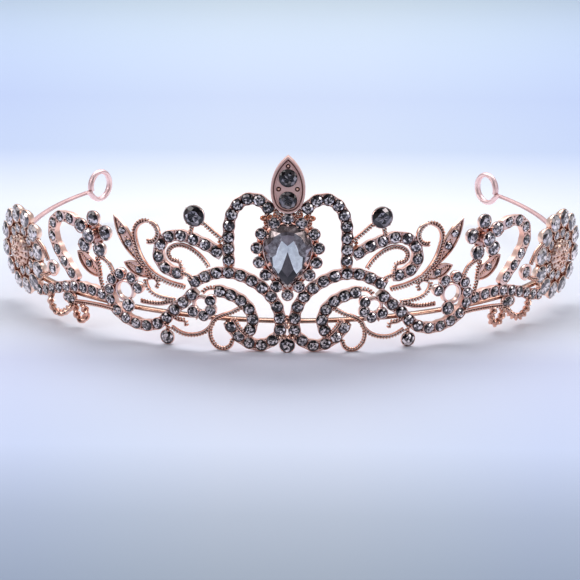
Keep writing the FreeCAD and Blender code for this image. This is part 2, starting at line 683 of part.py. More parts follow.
def finial():
    """Pointed plate above the drop, with a raised rim, two stones and three beads."""
    plate = doc.addObject("PartDesign::Body", "finial_plate_body")
    edge = arc_sketch(plate, "finial_outline", finial_arcs(), "-Sizes.finial_depth")
    pad(plate, "finial_pad", edge, "Sizes.finial_depth + Sizes.finial_recess")
    field = arc_sketch(plate, "finial_field", finial_arcs(-size("finial_rim")),
                       "Sizes.finial_recess")
    pocket(plate, "finial_recess_cut", field, "Sizes.finial_recess")
    for number, height in enumerate(FINIAL_STONE_HEIGHTS, start=1):
        seat = new_sketch(plate, "finial_seat_%d" % number, "XY_Plane", "Sizes.finial_recess")
        circle(seat, "Sizes.finial_stone / 2 + Sizes.seat_gap", (0, height))
        pocket(plate, "finial_seat_cut_%d" % number, seat,
               "Sizes.finial_recess + Sizes.pavilion * Sizes.finial_stone + Sizes.seat_gap")
    place = on_surface(0, size("finial_height"))
    keep(plate, "finial_plate", place)
    spots = [place * shifted(0, height) for height in FINIAL_STONE_HEIGHTS]
    keep_group(stones["finial_stone"], spots, "finial_stones")
    bead = doc.addObject("Part::Sphere", "bead_prototype")
    bead.setExpression("Radius", "Sizes.bead_size / 2")
    doc.recompute()
    spots = [place * shifted(x, y, size("bead_size") / 2) for x, y in FINIAL_BEAD_PLACES]
    keep_group(bead, spots, "finial_beads")


# ---------------------------------------------------------------- paired pieces

def ring_plate(name, bore, rim, place):
    """Flat ring behind a circle of stones."""
    body = doc.addObject("PartDesign::Body", name + "_body")
    sketch = new_sketch(body, name + "_outline", "XY_Plane", "-Sizes.strip_back")
    circle(sketch, rim)
    circle(sketch, bore)
    pad(body, name + "_pad", sketch, "Sizes.strip_back - Sizes.strip_floor")
    keep(body, name, place)


def petal_ring(body, name, radius, stone, count):
    """Round cups repeated round the body's axis, each with a seat for its stone."""
    top = "Sizes.cup_rim * %s" % stone
    stone_depth = "(Sizes.cup_rim + Sizes.pavilion) * %s" % stone
    steps = (("cup", "%s / 2 + Sizes.cup_wall" % stone, pad, stone_depth + " + Sizes.cup_floor"),
             ("seat", "%s / 2 + Sizes.seat_gap" % stone, pocket, stone_depth + " + Sizes.seat_gap"))
    for kind, rim, make, depth in steps:
        sketch = new_sketch(body, "%s_%s_outline" % (name, kind), "XY_Plane", top)
        circle(sketch, rim, (radius, 0))
        feature = make(body, "%s_%s" % (name, kind), sketch, depth)
        if make is pad:
            feature.Reversed = True
        pattern = body.newObject("PartDesign::PolarPattern", "%s_%s_pattern" % (name, kind))
        pattern.Originals = [feature]
        pattern.Axis = (plane_of(body, "Z_Axis"), [""])
        pattern.Angle = 360.0
        pattern.Occurrences = int(count)
        body.Tip = pattern


def disc(body, name, radius, bottom, depth):
    sketch = new_sketch(body, name + "_outline", "XY_Plane", bottom)
    circle(sketch, radius)
    pad(body, name + "_pad", sketch, depth)


def flower(name, place):
    """Five petals on a disc, and a raised cup in the middle."""
    body = doc.addObject("PartDesign::Body", name + "_body")
    disc(body, name + "_disc", "Sizes.flower_disc", "-Sizes.strip_back", "Sizes.flower_plate")
    petal_ring(body, name + "_petal", size("flower_radius"), "Sizes.petal_stone",
               size("flower_petals"))
    disc(body, name + "_stem", "Sizes.petal_stone / 2 + Sizes.cup_wall", "-Sizes.strip_back",
         "Sizes.strip_back + Sizes.flower_rise - Sizes.pavilion * Sizes.petal_stone")
    keep(body, name, place)


def medallion(name, place):
    """Ring of petals round an inner ring of small stones and a raised middle."""
    body = doc.addObject("PartDesign::Body", name + "_body")
    disc(body, name + "_plate", "Sizes.medallion_radius", "-Sizes.strip_back", "Sizes.medallion_plate")
    petal_ring(body, name + "_petal", size("medallion_radius"), "Sizes.medallion_stone",
               size("medallion_petals"))
    petal_ring(body, name + "_inner", size("medallion_inner"), "Sizes.strip_stone",
               size("medallion_inner_count"))
    disc(body, name + "_boss", "Sizes.medallion_boss", "-Sizes.strip_back", "Sizes.medallion_depth")
    keep(body, name, place)


def leaf_body(name, length, width, spots):
    """Pointed leaf, its middle at the origin and its tip towards +Y."""
    half = size(width) / 2
    middle = length / 2
    body = doc.addObject("PartDesign::Body", name + "_body")
    edge = arc_sketch(body, name + "_outline", leaf_arcs(half, middle, middle), "-Sizes.leaf_depth")
    pad(body, name + "_pad", edge, "Sizes.leaf_depth")
    field = arc_sketch(body, name + "_field", leaf_arcs(half, middle, middle, -size("leaf_rim")), "0")
    pocket(body, name + "_recess", field, "Sizes.leaf_recess")
    for number, height in enumerate(spots, start=1):
        seat = new_sketch(body, "%s_seat_%d" % (name, number), "XY_Plane", "0")
        circle(seat, "Sizes.leaf_stone / 2 + Sizes.seat_gap", (0, height))
        pocket(body, "%s_seat_cut_%d" % (name, number), seat,
               "Sizes.leaf_recess / 2 + Sizes.pavilion * Sizes.leaf_stone")
    return body


def leaves(side, word):
    """Three leaves of one half; returns the places of their stones."""
    shapes = []
    stone_places = []
    for name, (tip, base, width, shares) in LEAVES.items():
        along = side * (tip[0] + base[0]) / 2
        height = (tip[1] + base[1]) / 2
        run = (side * (tip[0] - base[0]), tip[1] - base[1])
        length = math.hypot(*run)
        turn = math.degrees(math.atan2(run[1], run[0])) - 90
        spots = [(share - 0.5) * length for share in shares]
        place = on_surface(along, height, 0.0, turn)
        body = leaf_body("%s_%s" % (name, word), length, width, spots)
        doc.recompute()
        shapes += placed(body, [place])
        stone_places += [place * shifted(0, spot, -size("leaf_recess") / 2) for spot in spots]
    keep_shape(Part.makeCompound(shapes), "leaves_" + word)
    return stone_places


def half_front(side, word):
    """All the pieces of one half of the openwork."""
    strip_stones = []
    for name, (points, count, bare_start, bare_end) in STRIPS.items():
        route = mirrored(points, side)
        keep_shape(strip_solid(route), "%s_%s" % (name, word))
        strip_stones += strip_stone_places(route, count, bare_start, bare_end)
    for name, routes in ROPES.items():
        wires = [wire_solid(mirrored(route, side), size("rope_size"), size("rope_out"))
                 for route in routes]
        if name == "side_ropes":
            wires += [wire_solid(mirrored(route, side), size("curl_size"), size("rope_out"))
                      for route in CURLS]
        keep_shape(Part.makeCompound(wires), "%s_%s" % (name, word))

    eyelet = on_surface(*mirrored([EYELET_PLACE], side)[0])
    rosette = on_surface(*mirrored([ROSETTE_PLACE], side)[0])
    ring_plate("eyelet_ring_" + word, "Sizes.eyelet_bore", "Sizes.eyelet_rim", eyelet)
    ring_plate("ring_rosette_" + word, "Sizes.rosette_bore", "Sizes.rosette_rim", rosette)
    sink = -size("girdle") * size("strip_stone")
    for ring, pitch, angles in ((eyelet, EYELET_PITCH, EYELET_STONES),
                                (rosette, ROSETTE_PITCH, ROSETTE_STONES)):
        for angle in angles:
            x, y = polar((0, 0), pitch, angle)
            strip_stones.append(ring * shifted(side * x, y, sink))
    keep_group(stones["strip_stone"], strip_stones, "strip_stones_" + word)

    flower_place = on_surface(*mirrored([FLOWER_PLACE], side)[0])
    flower_turn = spun(FLOWER_TURN if side > 0 else 180 - FLOWER_TURN)
    flower("flower_setting_" + word, flower_place * flower_turn)
    count = int(size("flower_petals"))
    petals = [flower_place * flower_turn * spun(360 * index / count) * shifted(size("flower_radius"), 0)
              for index in range(count)]
    petals.append(flower_place * shifted(0, 0, size("flower_rise") + size("seat_gap")))
    keep_group(stones["petal_stone"], petals, "flower_stones_" + word)

    origin, sideways, upward, outward = surface_frame(side * MEDALLION_PLACE[0], MEDALLION_PLACE[1])
    middle = origin + sideways * (side * MEDALLION_STEP)
    medallion_place = placement_of(middle, sideways, upward, outward)
    medallion_turn = spun(MEDALLION_TURN if side > 0 else 180 - MEDALLION_TURN)
    medallion("medallion_" + word, medallion_place * medallion_turn)
    count = int(size("medallion_petals"))
    petals = [medallion_place * medallion_turn * spun(360 * index / count)
              * shifted(size("medallion_radius"), 0) for index in range(count)]
    keep_group(stones["medallion_stone"], petals, "medallion_petals_" + word)
    count = int(size("medallion_inner_count"))
    inner = [medallion_place * medallion_turn * spun(360 * index / count)
             * shifted(size("medallion_inner"), 0) for index in range(count)]
    keep_group(stones["strip_stone"], inner, "medallion_stones_" + word)

    ball = [on_surface(*mirrored([BALL_PLACE], side)[0])]
    lone = [on_surface(*place) for place in mirrored([DROP_BALL_PLACE, BEZEL_PLACE], side)]
    oval = on_surface(*mirrored([OVAL_PLACE], side)[0])
    pitch, angle, rise = ROSETTE_LARGE
    x, y = polar((0, 0), pitch, angle)
    inset = [rosette * shifted(side * x, y, rise)]
    settings = placed(cups["ball_stone"], ball) + placed(cups["petal_stone"], lone)
    settings.append(stretched(cups["petal_stone"], oval))
    keep_shape(Part.makeCompound(settings), "bezel_cups_" + word)
    large = placed(stones["ball_stone"], ball) + placed(stones["petal_stone"], lone + inset)
    large.append(stretched(stones["petal_stone"], oval))
    keep_shape(Part.makeCompound(large), "bezel_stones_" + word)
    keep_group(stones["leaf_stone"], leaves(side, word), "leaf_stones_" + word)


# ---------------------------------------------------------------- the whole tiara

end_loops(headband())
pear_drop()
halo()
finial()
ties = [wire_solid(route, size("rope_size"), size("rope_out")) for route in CENTRE_TIES]
keep_shape(Part.makeCompound(ties), "centre_ties")
keep_group(cups["base_stone"], [on_surface(*BASE_PLACE)], "base_cup")
keep_group(stones["base_stone"], [on_surface(*BASE_PLACE)], "base_stone")
for side, word in ((-1, "left"), (1, "right")):
    half_front(side, word)
doc.recompute()

for item in doc.Objects:
    if "Invalid" in item.State or "Error" in item.State:
        raise RuntimeError("%s did not build: %s" % (item.Name, item.State))
os.makedirs("parts", exist_ok=True)
for piece in PARTS:
    if piece.Shape.isNull() or not piece.Shape.isValid():
        raise RuntimeError("%s has no valid shape" % piece.Label)
    piece.Shape.exportStep("parts/%s.step" % piece.Label)
    print("%-26s %4d solids %9.2f mm3" % (piece.Label, len(piece.Shape.Solids), piece.Shape.Volume))
box = FreeCAD.BoundBox()
for piece in PARTS:
    box.add(piece.Shape.BoundBox)
print("box", box)
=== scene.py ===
import math
import random

import bmesh
import bpy
import numpy as np
from mathutils import Matrix, Vector
from mathutils.geometry import delaunay_2d_cdt


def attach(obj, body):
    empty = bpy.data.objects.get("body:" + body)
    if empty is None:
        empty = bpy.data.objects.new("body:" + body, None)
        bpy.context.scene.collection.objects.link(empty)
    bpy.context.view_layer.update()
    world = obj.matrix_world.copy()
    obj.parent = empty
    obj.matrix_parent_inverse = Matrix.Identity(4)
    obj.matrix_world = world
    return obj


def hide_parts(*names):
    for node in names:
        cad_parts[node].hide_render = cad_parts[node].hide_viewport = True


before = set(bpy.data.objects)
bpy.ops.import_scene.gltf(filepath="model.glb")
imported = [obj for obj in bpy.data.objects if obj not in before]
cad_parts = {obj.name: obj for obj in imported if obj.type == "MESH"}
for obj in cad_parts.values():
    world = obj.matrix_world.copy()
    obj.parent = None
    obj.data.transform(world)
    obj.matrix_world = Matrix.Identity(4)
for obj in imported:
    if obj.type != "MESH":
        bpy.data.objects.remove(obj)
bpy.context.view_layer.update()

# Looks of the bridal tiara. Lengths are millimetres until a mesh is made. The openwork is drawn
# flat, as (along, height), and laid on the same curved, leaning surface as the CAD part; "out"
# is the distance in front of it. Lists hold the right half; the left half is its mirror image.
MM = 0.001
SIDES = ((-1, "left"), (1, "right"))
# the one seeded source of all random draws
PICK = random.Random(11)
# edges sharper than this are creased; points closer than this become one
SHARP = math.radians(38)
WELD = 0.004
ROUTE_STEP = 0.1

# ---------------------------------------------------------------- design, as in the CAD part

FRONT_RADIUS = 82.5
FRONT_LENGTH = 52.0
SIDE_RADIUS = 58.0
LEAN_FRONT = -1.5
LEAN_GAIN = 6.5
FLOOR_GAP = 0.56
ORIGIN_DEPTH = 54.8

# Strips: the route, the count of stones, and how far the first and the last stone are from the ends.
STRIPS = {
    "shoulder_scroll": ([(1.7, 3.4), (1.6, 7.2), (2.2, 10.0), (4.2, 13.1), (7.4, 15.6), (10.8, 17.1),
                         (14.0, 17.5), (17.0, 16.9), (19.6, 15.6), (22.0, 14.3)], 11, 1.3, 1.3),
    "inner_scroll": ([(16.4, 13.2), (15.1, 13.1), (12.3, 12.3), (9.9, 10.9), (8.2, 8.8), (7.7, 6.5),
                      (8.4, 4.4), (9.9, 2.9)], 6, 1.3, 2.3),
    "lower_swag": ([(13.3, 6.4), (12.6, 5.1), (11.0, 3.1), (8.7, 1.6), (5.9, 1.1), (3.3, 2.3),
                    (2.4, 3.1)], 5, 1.5, 1.2),
    "long_sweep": ([(20.8, 12.7), (23.0, 10.4), (25.9, 7.8), (28.0, 5.5), (30.2, 4.0), (32.7, 3.3),
                    (35.5, 3.4), (38.2, 4.2), (40.6, 5.6), (42.4, 8.0), (42.9, 9.2)], 10, 1.3, 1.3),
    "side_strip": ([(43.6, 8.5), (45.5, 8.9), (48.5, 9.2), (52.0, 9.2), (55.5, 8.6), (59.0, 7.6),
                    (62.5, 6.4), (66.0, 5.3), (68.5, 4.9)], 9, 1.3, 1.3),
    "lyre_arch": ([(13.0, 18.9), (13.1, 22.0), (13.1, 26.0), (12.7, 29.6), (11.4, 32.4), (8.9, 34.2),
                   (6.3, 34.0), (4.4, 32.5), (3.6, 31.3)], 9, 1.4, 1.3),
    "spiral_scroll": ([(14.6, 21.4), (17.2, 23.0), (20.5, 24.3), (24.0, 25.1), (27.0, 24.6),
                       (29.0, 22.6), (29.5, 19.8), (28.0, 17.5), (25.2, 16.5), (23.8, 16.4)],
                      9, 1.4, 1.3),
    "side_arch": ([(52.0, 24.6), (55.5, 25.4), (58.3, 24.7), (60.1, 22.7), (60.3, 19.9), (58.9, 17.3),
                   (56.9, 15.0), (54.6, 12.7), (52.6, 10.6)], 7, 2.1, 2.2),
}

# Ropes: which side the beads are on (+1 is left of the route's direction), and the route.
ROPES = {
    "crozier_rope": [
        (1, [(32.9, 14.2), (32.3, 12.2), (30.6, 10.9), (28.4, 10.4), (25.4, 10.2)]),
        (-1, [(32.4, 14.4), (30.7, 14.9), (29.6, 13.9), (30.2, 12.4)]),
        (-1, [(34.2, 9.0), (31.3, 8.9), (28.8, 9.1), (26.2, 10.0)]),
        (1, [(35.4, 19.2), (34.3, 17.9), (33.2, 16.9)]),
    ],
    "front_ropes": [
        (-1, [(10.2, 9.7), (12.6, 8.3), (15.0, 7.3), (16.7, 5.8), (17.3, 3.6), (16.7, 1.3),
              (14.8, -0.05), (12.9, 0.6), (12.3, 2.4)]),
        (-1, [(16.6, 5.6), (18.2, 3.7), (20.9, 2.5), (23.8, 2.5), (26.6, 3.8)]),
        (-1, [(25.9, 6.4), (24.6, 5.8), (23.1, 5.6), (22.9, 4.3)]),
        (-1, [(17.6, 18.4), (18.9, 20.2), (20.9, 21.9), (23.3, 22.9), (25.7, 22.6), (27.0, 21.1),
              (26.2, 19.6), (24.4, 19.2), (23.9, 17.4)]),
        (1, [(18.9, 28.4), (16.7, 26.6), (14.2, 24.6)]),
        (1, [(21.4, 27.4), (22.0, 25.4)]),
        (-1, [(11.9, 7.2), (10.6, 5.0), (8.7, 3.2)]),
        (1, [(4.5, 31.1), (4.9, 29.9), (4.5, 28.8), (4.7, 27.9)]),
        (1, [(3.0, 32.0), (2.2, 31.0), (1.4, 30.2)]),
        (-1, [(19.2, 12.5), (18.0, 13.6), (16.0, 13.9)]),
        (1, [(24.2, 16.5), (22.8, 16.4), (21.4, 15.2)]),
        (1, [(27.6, 2.6), (27.3, 3.6), (28.4, 4.8)]),
    ],
    "side_ropes": [
        (-1, [(46.0, 17.6), (45.2, 15.6), (45.1, 13.3), (44.5, 10.9), (44.1, 9.4)]),
        (1, [(45.2, 17.7), (43.3, 17.0), (42.0, 15.6), (41.2, 13.8)]),
        (1, [(53.4, 5.3), (50.2, 5.7), (46.8, 5.9), (43.5, 5.9), (40.4, 5.6)]),
        (-1, [(62.6, 13.4), (64.8, 16.2), (67.4, 17.6)]),
        (-1, [(61.8, 10.6), (64.6, 9.4), (67.4, 9.2)]),
    ],
}
# the tall hook's wide rope: at a share of its length the beads change to its other side
HOOK = [(32.4, 23.1), (31.0, 23.2), (29.7, 24.5), (30.1, 26.6), (31.9, 27.7), (34.2, 27.1),
        (35.5, 25.0), (35.2, 22.4), (34.2, 19.6), (32.4, 17.1), (29.9, 15.2), (26.8, 14.0),
        (23.0, 13.4)]
HOOK_SIZE = 1.35
HOOK_FLIP = 0.24
CENTRE_TIES = [
    [(0.25, 8.0), (-0.25, 7.0), (0.25, 6.1), (-0.2, 5.2)],
    [(-2.2, 3.2), (0.0, 3.1), (2.2, 3.2)],
]
# beaded curls below the side strip
CURLS = [
    [(62.0, 5.9), (62.5, 3.4), (60.9, 1.6), (58.2, 1.5), (56.0, 2.8), (54.0, 4.8)],
    [(53.4, 4.8), (53.2, 2.9), (51.5, 1.3), (49.9, 2.6), (50.3, 4.2), (51.0, 5.3)],
]
# Stones in cups: stone diameter, cup wall, cup depth, and how the facets' painted reflection tones
# are lifted and flattened.
CUPPED = {
    "halo": (2.3, 0.24, 1.3, 0.0, 1.0),
    "flower": (3.3, 0.18, 1.55, 0.14, 0.8),
    "flower_centre": (3.2, 0.18, 1.2, 0.14, 0.8),
    "medallion_outer": (4.2, 0.14, 1.8, 0.38, 0.56),
    "medallion_inner": (2.3, 0.18, 1.1, 0.36, 0.56),
    "ball": (4.65, 0.14, 1.9, 0.0, 0.75),
    "drop": (3.1, 0.2, 1.4, 0.0, 1.0),
    "side": (2.7, 0.65, 1.4, 0.0, 1.0),
    "oval": (3.0, 0.3, 1.4, 0.0, 1.0),
    "base": (3.3, 0.15, 1.4, 0.0, 1.0),
}
STRIP_STONE = 2.42
RING_STONE = 2.24
LEAF_STONE = 1.75
FINIAL_STONE = 3.86
ROPE_SIZE = 1.1
ROPE_PITCH = 0.68
CURL_SIZE = 1.8
TWIST_PITCH = 1.7

# cups round the pear, from its top to its foot
HALO = [(0.0, 30.1), (3.0, 29.1), (5.8, 26.6), (6.8, 23.4), (6.3, 20.2), (4.8, 17.4), (2.5, 14.8),
        (0.0, 12.9)]
BASE_PLACE = (0.0, 1.25)
PEAR_HEIGHT = 23.6
FINIAL_HEIGHT = 36.4
FINIAL_STONES = [2.6, -2.3]
# dimples of the plate, each with a bead in it
FINIAL_DIMPLES = [(0.0, 5.15), (2.0, 0.2), (-2.0, 0.2)]
FINIAL_BEADS = [(0.0, 5.2), (2.0, 0.2), (-2.0, 0.2)]
BALL_PLACE = (20.9, 29.8)
# blobs of solder: place and size
SOLDER = [((5.3, 30.1), 0.85), ((4.1, 30.3), 0.85), ((2.8, 30.8), 0.75), ((4.9, 29.1), 0.6),
          ((1.4, 30.9), 0.65), ((15.1, 24.4), 0.5), ((15.0, 23.5), 0.65), ((12.5, 19.2), 0.6),
          ((13.6, 19.3), 0.5), ((27.4, 3.5), 0.5)]
DROP_PLACE = (27.6, 1.3)
SIDE_PLACE = (61.0, 11.9)
OVAL_PLACE = (55.2, 5.9)
# the oval is a round cup stretched along and up
OVAL = (1.25, 0.8)
# rings: centre, radius of the bore, radius to the stones, and the stones' angles
EYELET = ((19.5, 9.6), 1.4, 2.5, [152, 205, 255, 318])
ROSETTE = ((38.6, 10.7), 1.9, 3.9, [-4, 35, 74, 121, 163])
# radius and angle of the larger stone; it overlaps the rim of its cup
ROSETTE_LARGE = (3.5, 250)
ROSETTE_CUP = (2.9, 0.25, 1.2)
ROSETTE_STONE = 2.95
FLOWER_PLACE = (47.1, 22.6)
FLOWER_TURN = 23.0
FLOWER_RADIUS = 3.8
FLOWER_PETALS = 5
FLOWER_RISE = 1.3
MEDALLION_PLACE = (69.6, 13.0)
MEDALLION_STEP = 6.0
MEDALLION_TURN = 110.0
MEDALLION_RADIUS = 8.9
MEDALLION_PETALS = 12
MEDALLION_INNER = 5.3
MEDALLION_INNER_COUNT = 11
PETAL_TILT = 7.0
# leaves: tip, base, width, and the stones' places as shares of the length from the base
LEAVES = [
    ((40.9, 28.2), (34.9, 18.2), 3.1, [0.38, 0.65]),
    ((38.4, 17.5), (31.4, 15.0), 3.1, [0.45]),
    ((51.8, 18.0), (44.9, 12.9), 4.0, [0.52]),
]


def plan(along):
    """Foot of the surface and the direction of its outward normal, seen from above."""
    distance = abs(along)
    joint = FRONT_LENGTH / FRONT_RADIUS
    if distance <= FRONT_LENGTH:
        angle = distance / FRONT_RADIUS
        x = FRONT_RADIUS * math.sin(angle)
        y = FRONT_RADIUS * (1 - math.cos(angle))
    else:
        angle = joint + (distance - FRONT_LENGTH) / SIDE_RADIUS
        gap = FRONT_RADIUS - SIDE_RADIUS
        x = gap * math.sin(joint) + SIDE_RADIUS * math.sin(angle)
        y = FRONT_RADIUS - gap * math.cos(joint) - SIDE_RADIUS * math.cos(angle)
    return math.copysign(x, along), y, math.copysign(angle, along)


def on_surface(along, height, out=0.0, turn=0.0):
    """Placement on the surface: X sideways, Y up along it, Z outwards."""
    x, y, angle = plan(along)
    lean = math.radians(LEAN_FRONT + LEAN_GAIN * (1 - math.cos(angle)))
    upward = Vector((math.sin(lean) * math.sin(angle), -math.sin(lean) * math.cos(angle),
                     math.cos(lean)))
    outward = Vector((math.cos(lean) * math.sin(angle), -math.cos(lean) * math.cos(angle),
                      -math.sin(lean)))
    sideways = Vector((math.cos(angle), math.sin(angle), 0))
    origin = Vector((x, y - ORIGIN_DEPTH, FLOOR_GAP)) + upward * height + outward * out
    return placement(sideways, upward, outward, origin) @ spin(turn)


def placement(x_axis, y_axis, z_axis, origin):
    """Matrix from its axes and its origin."""
    matrix = Matrix.Identity(4)
    for column, axis in enumerate((x_axis, y_axis, z_axis, origin)):
        matrix.col[column][:3] = axis
    return matrix


def spin(degrees):
    """Turn about Z."""
    return Matrix.Rotation(math.radians(degrees), 4, "Z")


def shift(x, y, z=0.0):
    """Step along the axes."""
    return Matrix.Translation((x, y, z))


def polar(radius, degrees, height=0.0):
    """Point at a radius and an angle round Z."""
    angle = math.radians(degrees)
    return Vector((radius * math.cos(angle), radius * math.sin(angle), height))


def mirrored(points, side):
    """Points of the right half, moved to the half that side (-1 or 1) names."""
    return [(side * along, height) for along, height in points]


class Route:
    """Smooth curve through points of the flat drawing, measured by distance."""

    def __init__(self, points):
        knots = np.array(points, float)
        runs = np.linalg.norm(np.diff(knots, axis=0), axis=1)
        count = len(knots)
        matrix = np.eye(count)
        bends = np.zeros((count, 2))
        for i in range(1, count - 1):
            matrix[i, i - 1:i + 2] = runs[i - 1], 2 * (runs[i - 1] + runs[i]), runs[i]
            ahead = (knots[i + 1] - knots[i]) / runs[i]
            behind = (knots[i] - knots[i - 1]) / runs[i - 1]
            bends[i] = 6 * (ahead - behind)
        bends = np.linalg.solve(matrix, bends)
        dense = []
        for i in range(count - 1):
            steps = max(2, int(runs[i] / ROUTE_STEP))
            share = np.linspace(0, 1, steps, endpoint=False)[:, None]
            rest = 1 - share
            square = runs[i] ** 2 / 6
            dense.append(rest * knots[i] + share * knots[i + 1]
                         + square * ((rest ** 3 - rest) * bends[i] + (share ** 3 - share) * bends[i + 1]))
        self.line = np.concatenate(dense + [knots[-1:]])
        self.far = np.concatenate([[0.0], np.cumsum(np.linalg.norm(np.diff(self.line, axis=0), axis=1))])
        self.length = self.far[-1]

    def at(self, distance):
        """Point and direction; the curve runs straight on past its ends."""
        held = min(max(distance, 0.0), self.length)
        index = min(int(np.searchsorted(self.far, held, "right")) - 1, len(self.far) - 2)
        run = self.line[index + 1] - self.line[index]
        direction = run / np.linalg.norm(run)
        return self.line[index] + direction * (distance - self.far[index]), direction

    def place(self, distance, across=0.0, out=0.0):
        """Point in space at a distance along, a step to the left and a height off the surface."""
        point, direction = self.at(distance)
        return on_surface(point[0] - direction[1] * across, point[1] + direction[0] * across,
                          out).translation

    def frame(self, distance, across=0.0, out=0.0):
        """Placement whose X runs along the curve."""
        point, direction = self.at(distance)
        turn = math.degrees(math.atan2(direction[1], direction[0]))
        return on_surface(point[0] - direction[1] * across, point[1] + direction[0] * across, out, turn)


# ---------------------------------------------------------------- meshes

class Build:
    """Points and faces of one piece; each face has a tone, and a material number."""

    def __init__(self):
        self.points = []
        self.faces = []
        self.tones = []
        self.slots = []

    def add(self, points, faces, place=None, tones=0.5, slot=0):
        start = len(self.points)
        for point in points:
            point = Vector(point)
            self.points.append(place @ point if place else point)
        for number, face in enumerate(faces):
            self.faces.append([start + index for index in face])
            self.tones.append(tones[number] if isinstance(tones, list) else tones)
            self.slots.append(slot)

    def rings(self, rings, closed=True, caps=(True, True), place=None, slot=0):
        """Skin over rings of equal counts, with or without a cap at each end."""
        count = len(rings[0])
        points = [point for ring in rings for point in ring]
        faces = []
        last = count if closed else count - 1
        for row in range(len(rings) - 1):
            for index in range(last):
                after = (index + 1) % count
                low = row * count
                high = low + count
                faces.append([low + index, low + after, high + after, high + index])
        if caps[0]:
            faces.append(list(range(count))[::-1])
        if caps[1]:
            faces.append([len(points) - count + index for index in range(count)])
        self.add(points, faces, place, slot=slot)

    def turned(self, profile, place, sides, wave=None, hollow=False):
        """Profile of (radius, height) turned round Z; wave(angle) scales the radius."""
        rings = []
        for radius, height in profile:
            ring = []
            for index in range(sides):
                angle = 2 * math.pi * index / sides
                reach = radius * (wave(angle) if wave else 1)
                ring.append((reach * math.cos(angle), reach * math.sin(angle), height))
            rings.append(ring)
        if hollow:
            rings.append(rings[0])
        self.rings(rings, caps=(not hollow, not hollow), place=place)

    def bead(self, place, radii, slot=0, sides=8, rows=5):
        """Small ellipsoid."""
        rings = []
        for row in range(1, rows):
            lift = math.pi * row / rows - math.pi / 2
            rings.append([(radii[0] * math.cos(lift) * math.cos(2 * math.pi * i / sides),
                           radii[1] * math.cos(lift) * math.sin(2 * math.pi * i / sides),
                           radii[2] * math.sin(lift)) for i in range(sides)])
        count = len(rings) * sides
        points = [point for ring in rings for point in ring] + [(0, 0, -radii[2]), (0, 0, radii[2])]
        faces = []
        for row in range(len(rings) - 1):
            for i in range(sides):
                j = (i + 1) % sides
                low = row * sides
                high = low + sides
                faces.append([low + i, low + j, high + j, high + i])
        for i in range(sides):
            j = (i + 1) % sides
            faces.append([count, j, i])
            faces.append([count + 1, count - sides + i, count - sides + j])
        self.add(points, faces, place, slot=slot)


def new_object(name, data):
    """Object in the scene."""
    thing = bpy.data.objects.new(name, data)
    bpy.context.scene.collection.objects.link(thing)
    return thing


def make(build, node, materials, slot="rose_gold", weld=WELD):
    """Mesh object from a build; it rides on the root body and stands for a CAD node."""
    name = node + "_look"
    facetted = slot != "rose_gold"
    mesh = bpy.data.meshes.new(name)
    mesh.from_pydata([point * MM for point in build.points], [], build.faces)
    for material in materials:
        mesh.materials.append(material)
    tone = mesh.attributes.new("tone", "FLOAT", "FACE")
    tone.data.foreach_set("value", build.tones)
    mesh.polygons.foreach_set("material_index", build.slots)
    work = bmesh.new()
    work.from_mesh(mesh)
    if weld:
        bmesh.ops.remove_doubles(work, verts=work.verts, dist=weld * MM)
    bmesh.ops.recalc_face_normals(work, faces=work.faces)
    for face in work.faces:
        face.smooth = not facetted
    for edge in work.edges:
        edge.smooth = not (len(edge.link_faces) == 2 and edge.calc_face_angle(0) > SHARP)
    work.to_mesh(mesh)
    work.free()
    piece = new_object(name, mesh)
    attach(piece, "root")
    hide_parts(node)


def filled(build, outer, holes, height, place):
    """Flat face with holes, at a height, inside an outline."""
    points = [Vector(p[:2]) for p in outer]
    edges = [(i, (i + 1) % len(outer)) for i in range(len(outer))]
    for hole in holes:
        start = len(points)
        points += [Vector(p[:2]) for p in hole]
        edges += [(start + i, start + (i + 1) % len(hole)) for i in range(len(hole))]
    spots, _, faces, *_ = delaunay_2d_cdt(points, edges, [], 0, 1e-5)
    kept = []
    for face in faces:
        middle = sum((spots[i] for i in face), Vector((0, 0))) / len(face)
        if inside(middle, outer) and not any(inside(middle, hole) for hole in holes):
            kept.append(list(face))
    build.add([(p.x, p.y, height) for p in spots], kept, place)


def inside(point, outline):
    """Whether a point lies inside a closed outline, by the crossings to its right."""
    crossings = False
    for (x1, y1, *_), (x2, y2, *_) in zip(outline, outline[1:] + outline[:1]):
        if (y1 > point.y) != (y2 > point.y):
            if point.x < x1 + (x2 - x1) * (point.y - y1) / (y2 - y1):
                crossings = not crossings
    return crossings


def ring_points(radius, count, centre, height=0.0):
    """Points of a circle."""
    return [(centre[0] + radius * math.cos(2 * math.pi * i / count),
             centre[1] + radius * math.sin(2 * math.pi * i / count), height) for i in range(count)]


# ---------------------------------------------------------------- materials
# metal: name, light and deep tint, painted crevice shade tint, roughness, reach of the painted crevice
# shade, bump, metallic
# gem: name, facet tones (painted reflections) from dark to bright, roughness, painted sparkle tint, and
# the scale and tint of its clouds

def new_material(name):
    """Material with its node tree and main shader."""
    material = bpy.data.materials.new(name)
    material.use_nodes = True
    return material, material.node_tree, material.node_tree.nodes["Principled BSDF"]


def new_node(tree, kind, values):
    """Node whose inputs, by name or number, are linked to a socket or set to a value."""
    node = tree.nodes.new("ShaderNode" + kind)
    connect(tree, node, values)
    return node


def connect(tree, node, values):
    """Link or set a node's inputs."""
    for key, value in values.items():
        if isinstance(value, bpy.types.NodeSocket):
            tree.links.new(value, node.inputs[key])
        else:
            node.inputs[key].default_value = value


def mixed(tree, factor, first, second, blend="MIX"):
    """Colour mix node; an input is a colour or a socket."""
    mix = tree.nodes.new("ShaderNodeMix")
    mix.data_type = "RGBA"
    mix.blend_type = blend
    connect(tree, mix, {0: factor, 6: first, 7: second})
    return mix.outputs[2]


